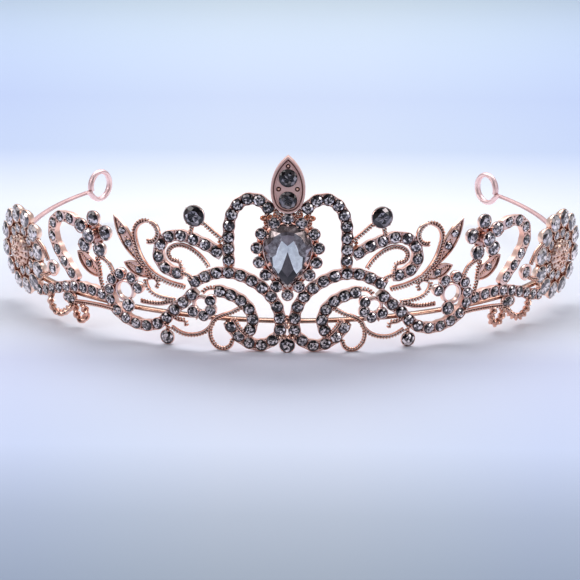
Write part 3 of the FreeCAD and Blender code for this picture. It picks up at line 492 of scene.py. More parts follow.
def ramp_of(tree, source, stops):
    """Colour ramp over a value, with stops of (position, colour)."""
    ramp = new_node(tree, "ValToRGB", {0: source})
    while len(ramp.color_ramp.elements) < len(stops):
        ramp.color_ramp.elements.new(0.5)
    for element, (position, colour) in zip(ramp.color_ramp.elements, stops):
        element.position = position
        element.color = (*colour, 1)
    return ramp.outputs[0]


def axes_of(tree, space):
    """X, Y and Z of a texture space."""
    coordinates = new_node(tree, "TexCoord", {})
    return new_node(tree, "SeparateXYZ", {0: coordinates.outputs[space]}).outputs


def noise_of(tree, scale, detail):
    """Noise over the object's own space."""
    coordinates = new_node(tree, "TexCoord", {})
    noise = new_node(tree, "TexNoise", {"Vector": coordinates.outputs["Object"], "Scale": scale,
                                        "Detail": detail, "Roughness": 0.55})
    return noise.outputs["Fac"]


def metal(name, light, deep, painted_crevice_shade, rough, reach, bump=0.25, metallic=1.0):
    """Plated metal: colour drifts between two tints; crevices are darker and duller, a painted shade mixed
    in where ambient occlusion finds them.
    """
    material, tree, shader = new_material(name)
    tint = ramp_of(tree, noise_of(tree, 260, 2.0), [(0.35, deep), (0.65, light)])
    # painted shade: ambient occlusion darkens the base colour in crevices towards the crevice tint
    shade = new_node(tree, "AmbientOcclusion", {"Distance": reach * MM})
    shade.samples = 4
    painted_shade_mask = ramp_of(tree, shade.outputs["AO"], [(0.3, (0, 0, 0)), (0.95, (1, 1, 1))])
    spread = new_node(tree, "MapRange", {"Value": noise_of(tree, 1400, 4.0), "To Min": rough * 0.7,
                                         "To Max": rough * 1.4})
    relief = new_node(tree, "Bump", {"Height": noise_of(tree, 2600, 3.0), "Strength": bump,
                                     "Distance": 0.03 * MM})
    connect(tree, shader, {"Base Color": mixed(tree, painted_shade_mask, (*painted_crevice_shade, 1), tint), "Metallic": metallic,
                           "Roughness": spread.outputs[0], "Normal": relief.outputs[0]})
    return material


def gem(name, stops, rough, painted_glint_colour, cloud=(900, (0.72, 0.7, 0.74))):
    """Foil-backed faceted glass: each facet has its own tone, a painted reflection, and the brightest ones
    sparkle with a painted glow.
    """
    material, tree, shader = new_material(name)
    tone = new_node(tree, "Attribute", {})
    tone.attribute_name = "tone"
    colour = ramp_of(tree, tone.outputs["Fac"], stops)
    clouds = noise_of(tree, cloud[0], 2.0)
    tint = ramp_of(tree, clouds, [(0.35, cloud[1]), (0.65, (1, 1, 1))])
    # painted sparkle: the brightest facet tones emit light
    painted_glint = ramp_of(tree, tone.outputs["Fac"], [(0.6, (0, 0, 0)), (1.0, painted_glint_colour)])
    connect(tree, shader, {"Base Color": mixed(tree, 1.0, colour, tint, "MULTIPLY"),
                           "Emission Color": painted_glint, "Emission Strength": 0.5, "Metallic": 0.8,
                           "Roughness": rough, "IOR": 1.6, "Coat Weight": 1.0,
                           "Coat Roughness": 0.02})
    return material


ROSE = metal("rose_gold", (1.0, 0.74, 0.65), (0.94, 0.60, 0.51), (0.22, 0.06, 0.035), 0.18, 0.8)
ROPE = metal("rose_gold_rope", (0.98, 0.66, 0.54), (0.86, 0.48, 0.37), (0.12, 0.03, 0.02), 0.2, 0.5)
GOLD = metal("warm_gold", (1.0, 0.78, 0.68), (0.92, 0.60, 0.48), (0.42, 0.18, 0.11), 0.3, 0.6)
# lit and shaded copies of the band's one metal: painted shade darkens the front, painted back light pales
# the tails and the loops
BAND = metal("rose_gold_band_painted_shade", (0.70, 0.44, 0.34), (0.46, 0.26, 0.19), (0.26, 0.10, 0.06), 0.24, 0.5)
SOFT = metal("rose_gold_loops_painted_light", (0.98, 0.73, 0.73), (0.92, 0.65, 0.66), (0.60, 0.36, 0.35), 0.42, 0.4, 0.1)
TAIL = metal("rose_gold_tail_painted_light", (0.74, 0.49, 0.48), (0.60, 0.39, 0.39), (0.40, 0.22, 0.21), 0.42, 0.4, 0.1)
SATIN = metal("rose_gold_satin", (1.0, 0.70, 0.61), (0.94, 0.56, 0.47), (0.30, 0.08, 0.05), 0.38, 0.7)
PLATE = metal("rose_gold_plate", (1.0, 0.67, 0.60), (1.0, 0.61, 0.54), (0.20, 0.04, 0.03), 0.45, 0.9,
              0.15, 0.4)
BRAZE = metal("red_solder", (0.70, 0.30, 0.18), (0.46, 0.15, 0.08), (0.10, 0.02, 0.01), 0.25, 0.6)
SMOKE = gem("smoke_stone", [(0.0, (0.009, 0.007, 0.008)), (0.35, (0.075, 0.061, 0.064)),
                            (0.65, (0.47, 0.41, 0.41)), (1.0, (1.0, 0.93, 0.93))], 0.07,
            (0.52, 0.45, 0.48))
PEAR = gem("pear_stone", [(0.0, (0.012, 0.010, 0.012)), (0.35, (0.24, 0.19, 0.20)),
                          (0.7, (1.0, 0.99, 1.0)), (1.0, (1.0, 1.0, 1.0))], 0.05,
           (0.62, 0.66, 0.74))
CROWN = gem("pear_stone_edge", [(0.0, (0.02, 0.014, 0.016)), (0.35, (0.24, 0.17, 0.17)),
                                (0.7, (0.75, 0.66, 0.66)), (1.0, (1.0, 1.0, 1.0))], 0.12,
            (0.3, 0.28, 0.3), (1300, (0.3, 0.24, 0.25)))


# ---------------------------------------------------------------- stones and cups

def stone(build, place, diameter, bright=0.0, contrast=1.0):
    """Round brilliant: a star seen through the table, kites, and dark facets at the girdle; the facets'
    light and dark tones are painted reflections.
    """
    place = place @ spin(PICK.uniform(0, 45)) @ Matrix.Scale(diameter, 4)
    middle = [(0, 0, 0.135)]
    star = [tuple(polar(0.14, 45 * i + 22.5, 0.122)) for i in range(8)]
    table = [tuple(polar(0.29, 45 * i, 0.138)) for i in range(8)]
    crown = [tuple(polar(0.41, 45 * i + 22.5, 0.085)) for i in range(8)]
    girdle = [tuple(polar(0.5, 22.5 * i, 0.02)) for i in range(16)]
    under = [tuple(polar(0.5, 22.5 * i, -0.04)) for i in range(16)]
    culet = [(0, 0, -0.36)]
    points = middle + star + table + crown + girdle + under + culet
    # where each layer starts in the list of points
    star_at, table_at, crown_at, girdle_at, under_at, culet_at = 1, 9, 17, 25, 41, 57
    faces = []
    tones = []

    def facet(face, low, high):
        faces.append(face)
        tones.append(min(1.0, contrast * PICK.uniform(low, high) + bright))

    for i in range(8):
        after = (i + 1) % 8
        before = (i - 1) % 8
        edge = girdle_at + 2 * i
        facet([0, star_at + before, table_at + i, star_at + i],
              *PICK.choice([(0, 0.2), (0.2, 0.5), (0.75, 1.0)]))
        facet([star_at + i, table_at + i, table_at + after], *PICK.choice([(0, 0.2), (0.55, 0.9)]))
        facet([table_at + i, crown_at + i, table_at + after], *PICK.choice([(0.0, 0.3), (0.6, 1.0)]))
        facet([table_at + i, crown_at + before, edge, crown_at + i],
              *PICK.choice([(0, 0.2), (0.2, 0.6), (0.7, 1.0)]))
        facet([crown_at + i, edge, edge + 1], 0.0, 0.15)
        facet([crown_at + i, edge + 1, girdle_at + (2 * i + 2) % 16], 0.0, 0.15)
    for i in range(16):
        after = (i + 1) % 16
        facet([girdle_at + i, under_at + i, under_at + after, girdle_at + after], 0.0, 0.1)
        facet([under_at + i, culet_at, under_at + after], 0.0, 0.2)
    build.add(points, faces, place, tones)


def cup(build, place, diameter, wall, depth):
    """Turned cup round a stone, with four small prongs over its rim."""
    inner = diameter / 2
    outer = inner + wall
    build.turned([(0.35 * inner, -depth), (0.62 * outer, -depth), (0.9 * outer, -0.55 * depth),
                  (outer, -0.2 * depth), (outer, 0.02), (outer - 0.06, 0.09), (outer - 0.16, 0.1),
                  (inner + 0.03, 0.03), (inner - 0.02, -0.12), (0.5 * inner, -0.5 * depth)], place, 24)
    for number in range(4):
        spot = polar(inner + 0.04, 45 + 90 * number, 0.1)
        build.bead(place @ Matrix.Translation(spot), (0.2, 0.2, 0.17))


def cup_and_stone(cups, gems, place, kind):
    """Stone in its cup, of one of the kinds in the table."""
    diameter, wall, depth, bright, contrast = CUPPED[kind]
    cup(cups, place, diameter, wall, depth)
    stone(gems, place, diameter, bright, contrast)


# ---------------------------------------------------------------- strips

STRIP_HALF = 1.33
SCALLOP = 0.1
GROOVE = 0.16
GROOVE_HALF = 0.95
# place of the beads across, their radii, and the shortest plain end
BEAD_ACROSS = 0.84
BEAD_RADII = (0.22, 0.26, 0.22)
SHORTEST_END = 0.3
# rows of a seat: radius, height
HOLE_ROWS = [(1.0, -0.75), (1.22, -0.2), (1.23, -0.02), (1.27, 0.02)]
# rows of the side walls: distance inside the edge, height, and how far the wall bulges at a stone
EDGE_ROWS = [(0.16, 0.0, 0.1), (0.09, 0.08, 0.1), (0.02, 0.03, 0.1), (0.0, -0.14, 0.11),
             (0.1, -0.6, 0.09), (0.18, -1.1, 0.09), (0.26, -1.58, 0.09)]
RAYS = 24


def strip(build, stones_build, points, count, bare_start, bare_end):
    """Channel strip: a cell with a round seat for each stone, edge rails, and plain ends."""
    route = Route(points)
    pitch = (route.length - bare_start - bare_end) / (count - 1)
    first = bare_start - pitch / 2
    last = first + count * pitch

    def half(distance, gain=SCALLOP):
        return STRIP_HALF + gain * math.cos(2 * math.pi * (distance - bare_start) / pitch)

    def rails(stations, width):
        """Edge rails and the back along both sides."""
        for side in (1, -1):
            rings = [[route.place(d, side * (width(d, gain) - inset), out)
                      for inset, out, gain in EDGE_ROWS] for d in stations]
            build.rings(rings, closed=False, caps=(False, False), slot=1)
        inset, out, gain = EDGE_ROWS[-1]
        back = [[route.place(d, side * (width(d, gain) - inset), out) for side in (1, -1)]
                for d in stations]
        build.rings(back, closed=False, caps=(False, False))

    def end_cap(distance, width):
        wall = [(width(distance, gain) - inset, out) for inset, out, gain in EDGE_ROWS]
        outline = wall + [(-across, out) for across, out in reversed(wall)]
        build.add([route.place(distance, a, o) for a, o in outline], [list(range(len(outline)))])

    corner = [RAYS // 8, 3 * RAYS // 8, 5 * RAYS // 8, 7 * RAYS // 8]
    for number in range(count):
        middle = bare_start + pitch * number
        border = []
        for ray in range(RAYS):
            angle = 2 * math.pi * ray / RAYS
            x, y = math.cos(angle), math.sin(angle)
            reach_x = pitch / 2
            if ray in corner:
                along = math.copysign(reach_x, x)
                across = math.copysign(half(middle + along) - EDGE_ROWS[0][0], y)
            elif abs(x) > abs(y):
                along = math.copysign(reach_x, x)
                across = along * y / x
            else:
                along = reach_x * x / abs(y)
                across = math.copysign(half(middle + along) - EDGE_ROWS[0][0], y)
            at_joint = abs(abs(along) - reach_x) < 1e-6 and abs(across) < GROOVE_HALF
            dip = GROOVE if at_joint else 0.0
            border.append(route.place(middle + along, across, -dip))
        rings = []
        for radius, out in HOLE_ROWS:
            rings.append([route.place(middle + radius * math.cos(2 * math.pi * ray / RAYS),
                                      radius * math.sin(2 * math.pi * ray / RAYS), out)
                          for ray in range(RAYS)])
        build.rings(rings + [border], caps=(True, False))
        shares = [1 / math.tan(2 * math.pi * ray / RAYS) for ray in range(corner[1] - 1, corner[0], -1)]
        stations = [middle + pitch / 2 * share for share in [-1] + shares + [1]]
        rails(stations, half)
        stone(stones_build, route.frame(middle, 0, -0.02), STRIP_STONE)
        if number:
            for side in (1, -1):
                build.bead(route.frame(middle - pitch / 2, side * BEAD_ACROSS, 0.05), BEAD_RADII)

    for start, end, closed_end in ((0.0, first, 0.0), (last, route.length, route.length)):
        if end - start > SHORTEST_END:
            count_plain = max(2, int((end - start) / 0.5))
            stations = [start + (end - start) * i / count_plain for i in range(count_plain + 1)]
            edge = end if start == 0.0 else start

            def plain(distance, gain=SCALLOP, edge=edge, tip=closed_end):
                share = abs(distance - edge) / max(abs(tip - edge), 0.1)
                return half(edge, gain) * (1 - 0.4 * share ** 2)

            rails(stations, plain)
            face = [[route.place(d, side * (plain(d) - EDGE_ROWS[0][0]), 0.0) for side in (1, -1)]
                    for d in stations]
            build.rings(face, closed=False, caps=(False, False))
            end_cap(closed_end, plain)
        else:
            end_cap(first if start == 0.0 else last, half)


# ---------------------------------------------------------------- ropes

def tube(build, centre_of, length, radii, step=0.35, sides=10):
    """Round bar along a route; centre_of(distance) is a placement whose X runs along it."""
    count = max(3, int(length / step))
    rings = []
    for index in range(count + 1):
        place = centre_of(length * index / count)
        shrink = 0.55 if index in (0, count) else 1.0
        rings.append([place @ Vector((0, shrink * radii[0] * math.cos(2 * math.pi * i / sides),
                                      shrink * radii[1] * math.sin(2 * math.pi * i / sides)))
                      for i in range(sides)])
    build.rings(rings)


def rope(build, points, bead_side, size, flip=None):
    """Smooth rail with a beaded edge; past the share "flip" the beads are on the other side."""
    route = Route(points)

    def beads_on(distance):
        if flip is None:
            return bead_side
        return bead_side * math.tanh((distance - flip * route.length) / size)

    tube(build, lambda d: route.frame(d, -beads_on(d) * 0.33 * size, -0.1), route.length,
         (0.22 * size, 0.36 * size))
    count = max(2, round(route.length / ROPE_PITCH))
    for index in range(count):
        middle = route.length * (index + 0.5) / count
        place = route.frame(middle, beads_on(middle) * 0.14 * size, -0.05)
        build.bead(place @ spin(30 * beads_on(middle)), (0.29, 0.4 * size, 0.5))


def twisted(build, points, size):
    """Two round strands wound round each other."""
    route = Route(points)
    for phase in (0, math.pi):
        def strand(distance, phase=phase):
            angle = phase + 2 * math.pi * distance / (TWIST_PITCH * size)
            return route.frame(distance, 0.22 * size * math.cos(angle),
                               -0.1 + 0.22 * size * math.sin(angle))
        tube(build, strand, route.length, (0.31 * size, 0.31 * size), 0.15 * size, 8)
    tube(build, lambda d: route.frame(d, 0, -0.1), route.length, (0.26 * size, 0.26 * size))


# ---------------------------------------------------------------- outlines

def arc_points(centre, radius, first, last, count):
    """Points along an arc, angles in degrees, without the arc's last point."""
    turns = [first + (last - first) * i / count for i in range(count)]
    return [(centre[0] + p.x, centre[1] + p.y) for p in (polar(radius, turn) for turn in turns)]


def leaf_outline(half, reach, grow=0.0):
    """Two arcs that meet in a point at each end, widest at y = 0."""
    radius = (half ** 2 + reach ** 2) / (2 * half)
    centre = radius - half
    span = math.degrees(math.acos(centre / (radius + grow)))
    return (arc_points((-centre, 0), radius + grow, -span, span, 32)
            + arc_points((centre, 0), radius + grow, 180 - span, 180 + span, 32))


def pear_outline(grow, count=14):
    """Pear outline, point down: a head arc and two side arcs."""
    head, side, drop = 4.95, 12.0, 8.8
    reach = side - head
    lift = math.asin((reach ** 2 + drop ** 2 - side ** 2) / (2 * drop * reach))
    centre = (-reach * math.cos(lift), -reach * math.sin(lift))
    tip = centre[1] - math.sqrt((side + grow) ** 2 - centre[0] ** 2)
    point = math.degrees(math.atan2(tip - centre[1], -centre[0]))
    lift = math.degrees(lift)
    left = arc_points(centre, side + grow, lift, point, count)
    return (arc_points((0, 0), head + grow, lift, 180 - lift, 2 * count)
            + [(-x, y) for x, y in left]
            + arc_points(centre, side + grow, point, lift, count))


def stepped(build, outline, rows, place, caps=(True, True)):
    """Rings of one outline family: outline(grow) at each (grow, height)."""
    rings = [[(x, y, height) for x, y in outline(grow)] for grow, height in rows]
    build.rings(rings, caps=caps, place=place)


# ---------------------------------------------------------------- middle of the front

# right edge of the pear's table, between its top and its lowest point
PEAR_TABLE = [(1.5, 3.65), (2.8, 2.8), (3.7, 1.4), (3.95, -0.2), (3.85, -1.8), (3.4, -3.4),
              (2.6, -5.0), (1.6, -6.5)]
PEAR_TOP = (0.0, 3.95)
PEAR_LOW = (0.0, -8.1)


def pear_setting(place):
    """Stepped bowl with six claws."""
    build = Build()
    stepped(build, pear_outline, [(-2.0, -2.3), (1.8, -2.35), (1.95, -2.2), (1.9, -1.75), (1.7, -1.62),
                                  (0.8, -1.6), (0.6, -1.4), (0.55, -0.2), (0.45, -0.04), (0.2, 0.02),
                                  (0.06, -0.06), (-0.1, -0.3), (-0.4, -1.2)], place)
    for x, y in ((0, 5.0), (0, -8.9), (4.3, 2.6), (-4.3, 2.6), (3.4, -4.9), (-3.4, -4.9)):
        build.bead(place @ shift(x, y, 0.42), (0.33, 0.4, 0.3))
    make(build, "pear_setting", [ROSE])


def table_height(x):
    """The table is slightly crowned from side to side."""
    return 1.45 - 0.012 * x * x


def pear_table(build, place):
    """Facets seen through the table, with painted reflections: bright in the middle and dark to the point.
    """
    top, low = PEAR_TOP, PEAR_LOW
    heart, kite_top, kite_side, kite_low = (0, 0.7), (0, -0.6), (1.35, -4.5), (0, -6.3)
    v_top, blade_top = (0, 3.2), (1.3, 1.9)
    blade = [heart, kite_top, kite_side, (2.0, -5.5), (3.1, -4.2), (3.3, -1.8), (2.5, -1.2), (2.1, 0.3),
             blade_top]
    # facets of the table's right half: tone (a painted reflection), whether mottled, and corners
    shapes = [
        (0.33, 0, [heart, blade_top, (1.35, 3.0), v_top]),
        (0.74, 0, blade),
        (0.31, 0, [kite_top, kite_side, kite_low]),
        (0.52, 1, [blade_top, (2.1, 0.3), (2.8, 2.8), (1.5, 3.65), (1.35, 3.0)]),
        (0.46, 1, [(2.1, 0.3), (3.7, 1.4), (2.8, 2.8)]),
        (0.56, 1, [(2.1, 0.3), (2.5, -1.2), (3.95, -0.2), (3.7, 1.4)]),
        (0.60, 1, [(2.5, -1.2), (3.3, -1.8), (3.85, -1.8), (3.95, -0.2)]),
        (0.12, 0, [(3.3, -1.8), (3.1, -4.2), (3.4, -3.4), (3.85, -1.8)]),
        (0.05, 0, [(3.1, -4.2), (2.0, -5.5), (2.6, -5.0), (3.4, -3.4)]),
        (0.10, 0, [kite_side, kite_low, low, (1.6, -6.5), (2.0, -5.5)]),
        (0.04, 0, [(2.0, -5.5), (1.6, -6.5), (2.6, -5.0)]),
        (0.34, 1, [v_top, (1.35, 3.0), (1.5, 3.65), top]),
    ]
    depth = {heart: -0.3, kite_top: -0.28, kite_low: -0.05, kite_side: -0.12, blade_top: -0.1}
    for side, brighter in ((1, 0.0), (-1, 0.04)):
        for tone, slot, shape in shapes:
            points = [(side * x, y, table_height(x) + depth.get((x, y), 0.0)) for x, y in shape]
            build.add(points, [list(range(len(points)))], place, tone + brighter, slot)


def pear_crown(build, place):
    """Facets between the table's edge and the outline, with painted reflection tones, duller at the top.
    """
    left = [(-x, y) for x, y in reversed(PEAR_TABLE)]
    inner = [(x, y, table_height(x)) for x, y in [PEAR_TOP] + PEAR_TABLE + [PEAR_LOW] + left]
    outer = [reach_outline(x, y) for x, y, _ in inner]
    count = len(inner)
    knee_share = 0.62
    for i in range(count):
        j = (i + 1) % count
        mid = reach_outline((inner[i][0] + inner[j][0]) / 2, (inner[i][1] + inner[j][1]) / 2)
        knee = ((inner[i][0] + inner[j][0]) * knee_share * 0.5 + mid[0] * (1 - knee_share),
                (inner[i][1] + inner[j][1]) * knee_share * 0.5 + mid[1] * (1 - knee_share), 1.0)
        points = [inner[i], inner[j], knee, (*outer[i], 0.05), (*mid, 0.05), (*outer[j], 0.05),
                  (*outer[i], -0.35), (*mid, -0.35), (*outer[j], -0.35)]
        # painted reflections are dimmed on the upper crown facets
        dull = 0.75 if mid[1] > 1.5 else 1.0
        tones = [dull * PICK.uniform(*span) for span in
                 ((0.4, 0.75), (0.25, 0.65), (0.25, 0.65), (0.1, 0.6), (0.1, 0.6), (0.1, 0.2), (0.1, 0.2))]
        build.add(points, [[0, 1, 2], [0, 2, 3], [1, 5, 2], [3, 2, 4], [2, 5, 4], [3, 4, 7, 6],
                           [4, 5, 8, 7]], place, tones, 1)


def pear_drop():
    """The pear stone in its setting."""
    place = on_surface(0, PEAR_HEIGHT)
    pear_setting(place)
    build = Build()
    pear_table(build, place)
    pear_crown(build, place)
    stepped(build, pear_outline, [(-0.02, -0.34), (-3.4, -2.1)], place, (False, True))
    make(build, "pear_stone", [PEAR, CROWN], "pear_glass")


def reach_outline(x, y):
    """Where the ray from the pear's middle through a point meets its outline."""
    middle = -1.2
    angle = math.atan2(y - middle, x)

    def miss(point):
        return abs(math.remainder(math.atan2(point[1] - middle, point[0]) - angle, 2 * math.pi))

    return min(pear_outline(0.3, 160), key=miss)


def halo():
    """Cups and stones round the pear."""
    cups = Build()
    gems = Build()
    places = HALO[:1] + HALO[-1:] + [(s * a, h) for s in (-1, 1) for a, h in HALO[1:-1]]
    for along, height in places:
        cup_and_stone(cups, gems, on_surface(along, height, 0.2), "halo")
    make(cups, "halo_cups", [ROSE])
    make(gems, "halo_stones", [SMOKE], "smoke_glass")


def finial_outline(grow):
    """Widest at y = 0: two arcs to the point, two sides and a round foot."""
    half, top, bottom, side = 3.75, 7.4, 5.15, 8.25
    top_radius = (half ** 2 + top ** 2) / (2 * half)
    top_centre = top_radius - half
    span = math.degrees(math.acos(top_centre / (top_radius + grow)))
    side_centre = side - half
    foot = (side ** 2 - side_centre ** 2 - bottom ** 2) / (2 * (side - bottom))
    turn = math.degrees(math.atan2(bottom - foot, side_centre))
    return (arc_points((-top_centre, 0), top_radius + grow, 0, span, 16)
            + arc_points((top_centre, 0), top_radius + grow, 180 - span, 180, 16)
            + arc_points((side_centre, 0), side + grow, 180, 180 + turn, 8)
            + arc_points((0, foot - bottom), foot + grow, 180 + turn, 360 - turn, 20)
            + arc_points((-side_centre, 0), side + grow, 360 - turn, 360, 8))


def finial():
    """Pointed plate with two large stones and three beads."""
    place = on_surface(0, FINIAL_HEIGHT)
    build = Build()
    rows = [(-0.25, -1.7), (0.0, -1.5), (0.0, 0.3), (-0.1, 0.44), (-0.38, 0.46), (-0.5, 0.3),
            (-0.55, -0.1), (-0.7, -0.12), (-0.76, 0.16), (-0.86, 0.2), (-0.98, 0.12), (-1.04, 0.02)]
    stepped(build, finial_outline, rows, place, (True, False))
    # hollows in the face: (radius, height) from the rim down, sides and centre
    hollows = [([(1.98, 0.02), (1.97, -0.35), (1.6, -1.2)], 28, (0, y)) for y in FINIAL_STONES]
    hollows += [([(0.55, 0.02), (0.52, -0.3), (0.2, -0.42)], 12, spot) for spot in FINIAL_DIMPLES]
    holes = [ring_points(profile[0][0], sides, spot) for profile, sides, spot in hollows]
    filled(build, finial_outline(-1.04), holes, 0.02, place)
    for profile, sides, spot in hollows:
        rings = [ring_points(radius, sides, spot, z) for radius, z in profile]
        build.rings(rings, caps=(False, True), place=place)
    make(build, "finial_plate", [PLATE])
    beads = Build()
    for x, y in FINIAL_BEADS:
        beads.bead(place @ shift(x, y, -0.12), (0.33, 0.33, 0.33), sides=10, rows=7)
    make(beads, "finial_beads", [ROPE])
    gems = Build()
    for height in FINIAL_STONES:
        stone(gems, place @ shift(0, height, 0.02), FINIAL_STONE, 0.0, 0.7)
    make(gems, "finial_stones", [SMOKE], "smoke_glass")


# ---------------------------------------------------------------- headband and loops

BAND_INSET = 2.25
TAIL_START = 75.0
TAIL_RADIUS = 68.0
TAIL_TURN = 34.0
BAND_HEIGHT = 0.8
BAND_STEP = 1.2
# the band's section: (reach outwards, height)
BAND_SECTION = [(0.5, 0.02), (0.7, 0.06), (0.8, 0.16), (0.8, 0.38), (0.73, 0.57), (0.6, 0.72),
                (0.4, 0.8), (-0.6, 0.8), (-0.76, 0.7), (-0.8, 0.5), (-0.8, 0.25), (-0.72, 0.08),
                (-0.5, 0.02)]
BAND_LIFT = 6.3
BAND_TILT = 1.85
BAND_PLACE = shift(0, -ORIGIN_DEPTH, BAND_LIFT) @ Matrix.Rotation(math.radians(BAND_TILT), 4, "X")
# the loop's centre: past the band's end and above its middle; the radius is to mid-thickness
LOOP_STEP = 4.0
LOOP_LIFT = 1.0
LOOP_RADIUS = 4.05
LOOP_HALF_WIDTH = 0.98
LOOP_HALF_THICKNESS = 0.7
LOOP_STEPS = 35
# where the loop's strip leaves the band, beside the loop's centre
LOOP_LEAD = [(-6.4, -1.0), (-5.7, -1.02), (-5.0, -1.2), (-4.35, -1.62)]


def band_arcs():
    """Half of the band's plan as (centre, radius, first angle, last angle), from the front."""
    joint = math.degrees(FRONT_LENGTH / FRONT_RADIUS)
    gap = FRONT_RADIUS - SIDE_RADIUS
    side = SIDE_RADIUS - BAND_INSET
    side_centre = Vector((gap * math.sin(math.radians(joint)),
                          FRONT_RADIUS - gap * math.cos(math.radians(joint))))
    tail_centre = side_centre + polar(side - TAIL_RADIUS, TAIL_START - 90).xy
    return [(Vector((0, FRONT_RADIUS)), FRONT_RADIUS - BAND_INSET, -90, joint - 90),
            (side_centre, side, joint - 90, TAIL_START - 90),
            (tail_centre, TAIL_RADIUS, TAIL_START - 90, TAIL_TURN)]


def band_stations():
    """Points of the band's right half with their outward angles, from the front."""
    stations = []
    for centre, radius, first, last in band_arcs():
        steps = max(4, int(math.radians(last - first) * radius / BAND_STEP))
        for index in range(steps):
            angle = first + (last - first) * index / steps
            stations.append((centre + polar(radius, angle).xy, angle))
    centre, radius, _, last = band_arcs()[-1]
    return stations + [(centre + polar(radius, last).xy, last)]


def headband():
    """The band is one strip; its tails have a paler tint than its front, painted back light on the tails
    and painted shade on the front.
    """
    right = band_stations()
    stations = [(Vector((-p.x, p.y)), 180 - a) for p, a in reversed(right[1:])] + right
    rings = []
    for point, angle in stations:
        outward = polar(1, angle)
        rings.append([BAND_PLACE @ (Vector((point.x, point.y, height)) + outward * reach)
                      for reach, height in BAND_SECTION])
    tail = sum(angle > TAIL_START - 90 for _, angle in right)
    build = Build()
    build.rings(rings[:tail + 1], caps=(True, False), slot=1)
    build.rings(rings[tail:-tail], caps=(False, False))
    build.rings(rings[-tail - 1:], caps=(False, True), slot=1)
    make(build, "headband", [BAND, TAIL])


def end_loops():
    """Flat strip that leaves the band and curls once round, at each end."""
    end = band_stations()[-1][0]
    heading = math.radians(90 + TAIL_TURN)
    for side, word in SIDES:
        forward = Vector((side * math.cos(heading), math.sin(heading), 0))
        up = Vector((0, 0, 1))
        axis = forward.cross(up)
        middle = Vector((side * end.x, end.y, BAND_HEIGHT / 2 + LOOP_LIFT)) + forward * LOOP_STEP
        path = list(LOOP_LEAD)
        for step in range(LOOP_STEPS):
            radius = LOOP_RADIUS + 0.2 - 0.35 * step / (LOOP_STEPS - 1)
            path.append(tuple(polar(radius, 212 + 10 * step).xy))
        rings = []
        for index, (x, y) in enumerate(path):
            before = path[max(index - 1, 0)]
            after = path[min(index + 1, len(path) - 1)]
            run = Vector((after[0] - before[0], after[1] - before[1])).normalized()
            normal = Vector((-run.y, run.x))
            ring = []
            swell = min(1.0, 0.65 + 0.08 * index)
            for turn in range(12):
                wide = LOOP_HALF_WIDTH * math.cos(math.pi * turn / 6)
                thick = LOOP_HALF_THICKNESS * math.sin(math.pi * turn / 6) * swell
                flat = Vector((x, y)) + normal * thick
                ring.append(BAND_PLACE @ (middle + forward * flat.x + up * flat.y + axis * wide))
            rings.append(ring)
        build = Build()
        build.rings(rings)
        # the loops' paler tint is painted back light
        make(build, "end_loop_" + word, [SOFT])


# ---------------------------------------------------------------- paired pieces

def ringed(build, gems, centre, bore, pitch, angles, side):
    """Smooth inner ring with a cup for each stone round it."""
    place = on_surface(side * centre[0], centre[1])
    build.turned([(bore + 0.62, -1.55), (bore + 0.02, -1.55), (bore, -1.4), (bore, -0.35),
                  (bore + 0.12, -0.2), (bore + 0.4, -0.16), (bore + 0.62, -0.3)], place, 36, hollow=True)
    for angle in angles:
        spot = polar(pitch, angle)
        seat = place @ shift(side * spot.x, spot.y)
        build.turned([(0.7, -1.55), (1.2, -1.5), (1.34, -0.9), (1.36, -0.02), (1.3, 0.07), (1.2, 0.07),
                      (1.12, -0.05), (1.05, -0.5), (0.5, -0.8)], seat, 24)
        stone(gems, seat @ shift(0, 0, -0.02), RING_STONE)
    for before, after in zip(angles, angles[1:]):
        spot = polar(pitch + 0.9, (before + after) / 2, 0.02)
        build.bead(place @ shift(side * spot.x, spot.y, spot.z), (0.24, 0.24, 0.2))
    return place


def flower(side, word):
    """Five-petalled flower with a raised centre stone."""
    build = Build()
    gems = Build()
    turn = FLOWER_TURN if side > 0 else 180 - FLOWER_TURN
    place = on_surface(side * FLOWER_PLACE[0], FLOWER_PLACE[1]) @ spin(turn)
    build.turned([(0.5, -1.6), (2.6, -1.6), (2.7, -1.4), (2.6, -0.95), (0.5, -0.9)], place, 28)
    for index in range(FLOWER_PETALS):
        petal = place @ spin(360 * index / FLOWER_PETALS) @ shift(FLOWER_RADIUS, 0)
        cup_and_stone(build, gems, petal, "flower")
    build.turned([(0.9, -1.5), (1.2, -1.0), (1.5, 0.4), (1.62, 0.9)], place, 20)
    cup_and_stone(build, gems, place @ shift(0, 0, FLOWER_RISE), "flower_centre")
    make(build, "flower_setting_" + word, [ROSE])
    make(gems, "flower_stones_" + word, [SMOKE], "smoke_glass")


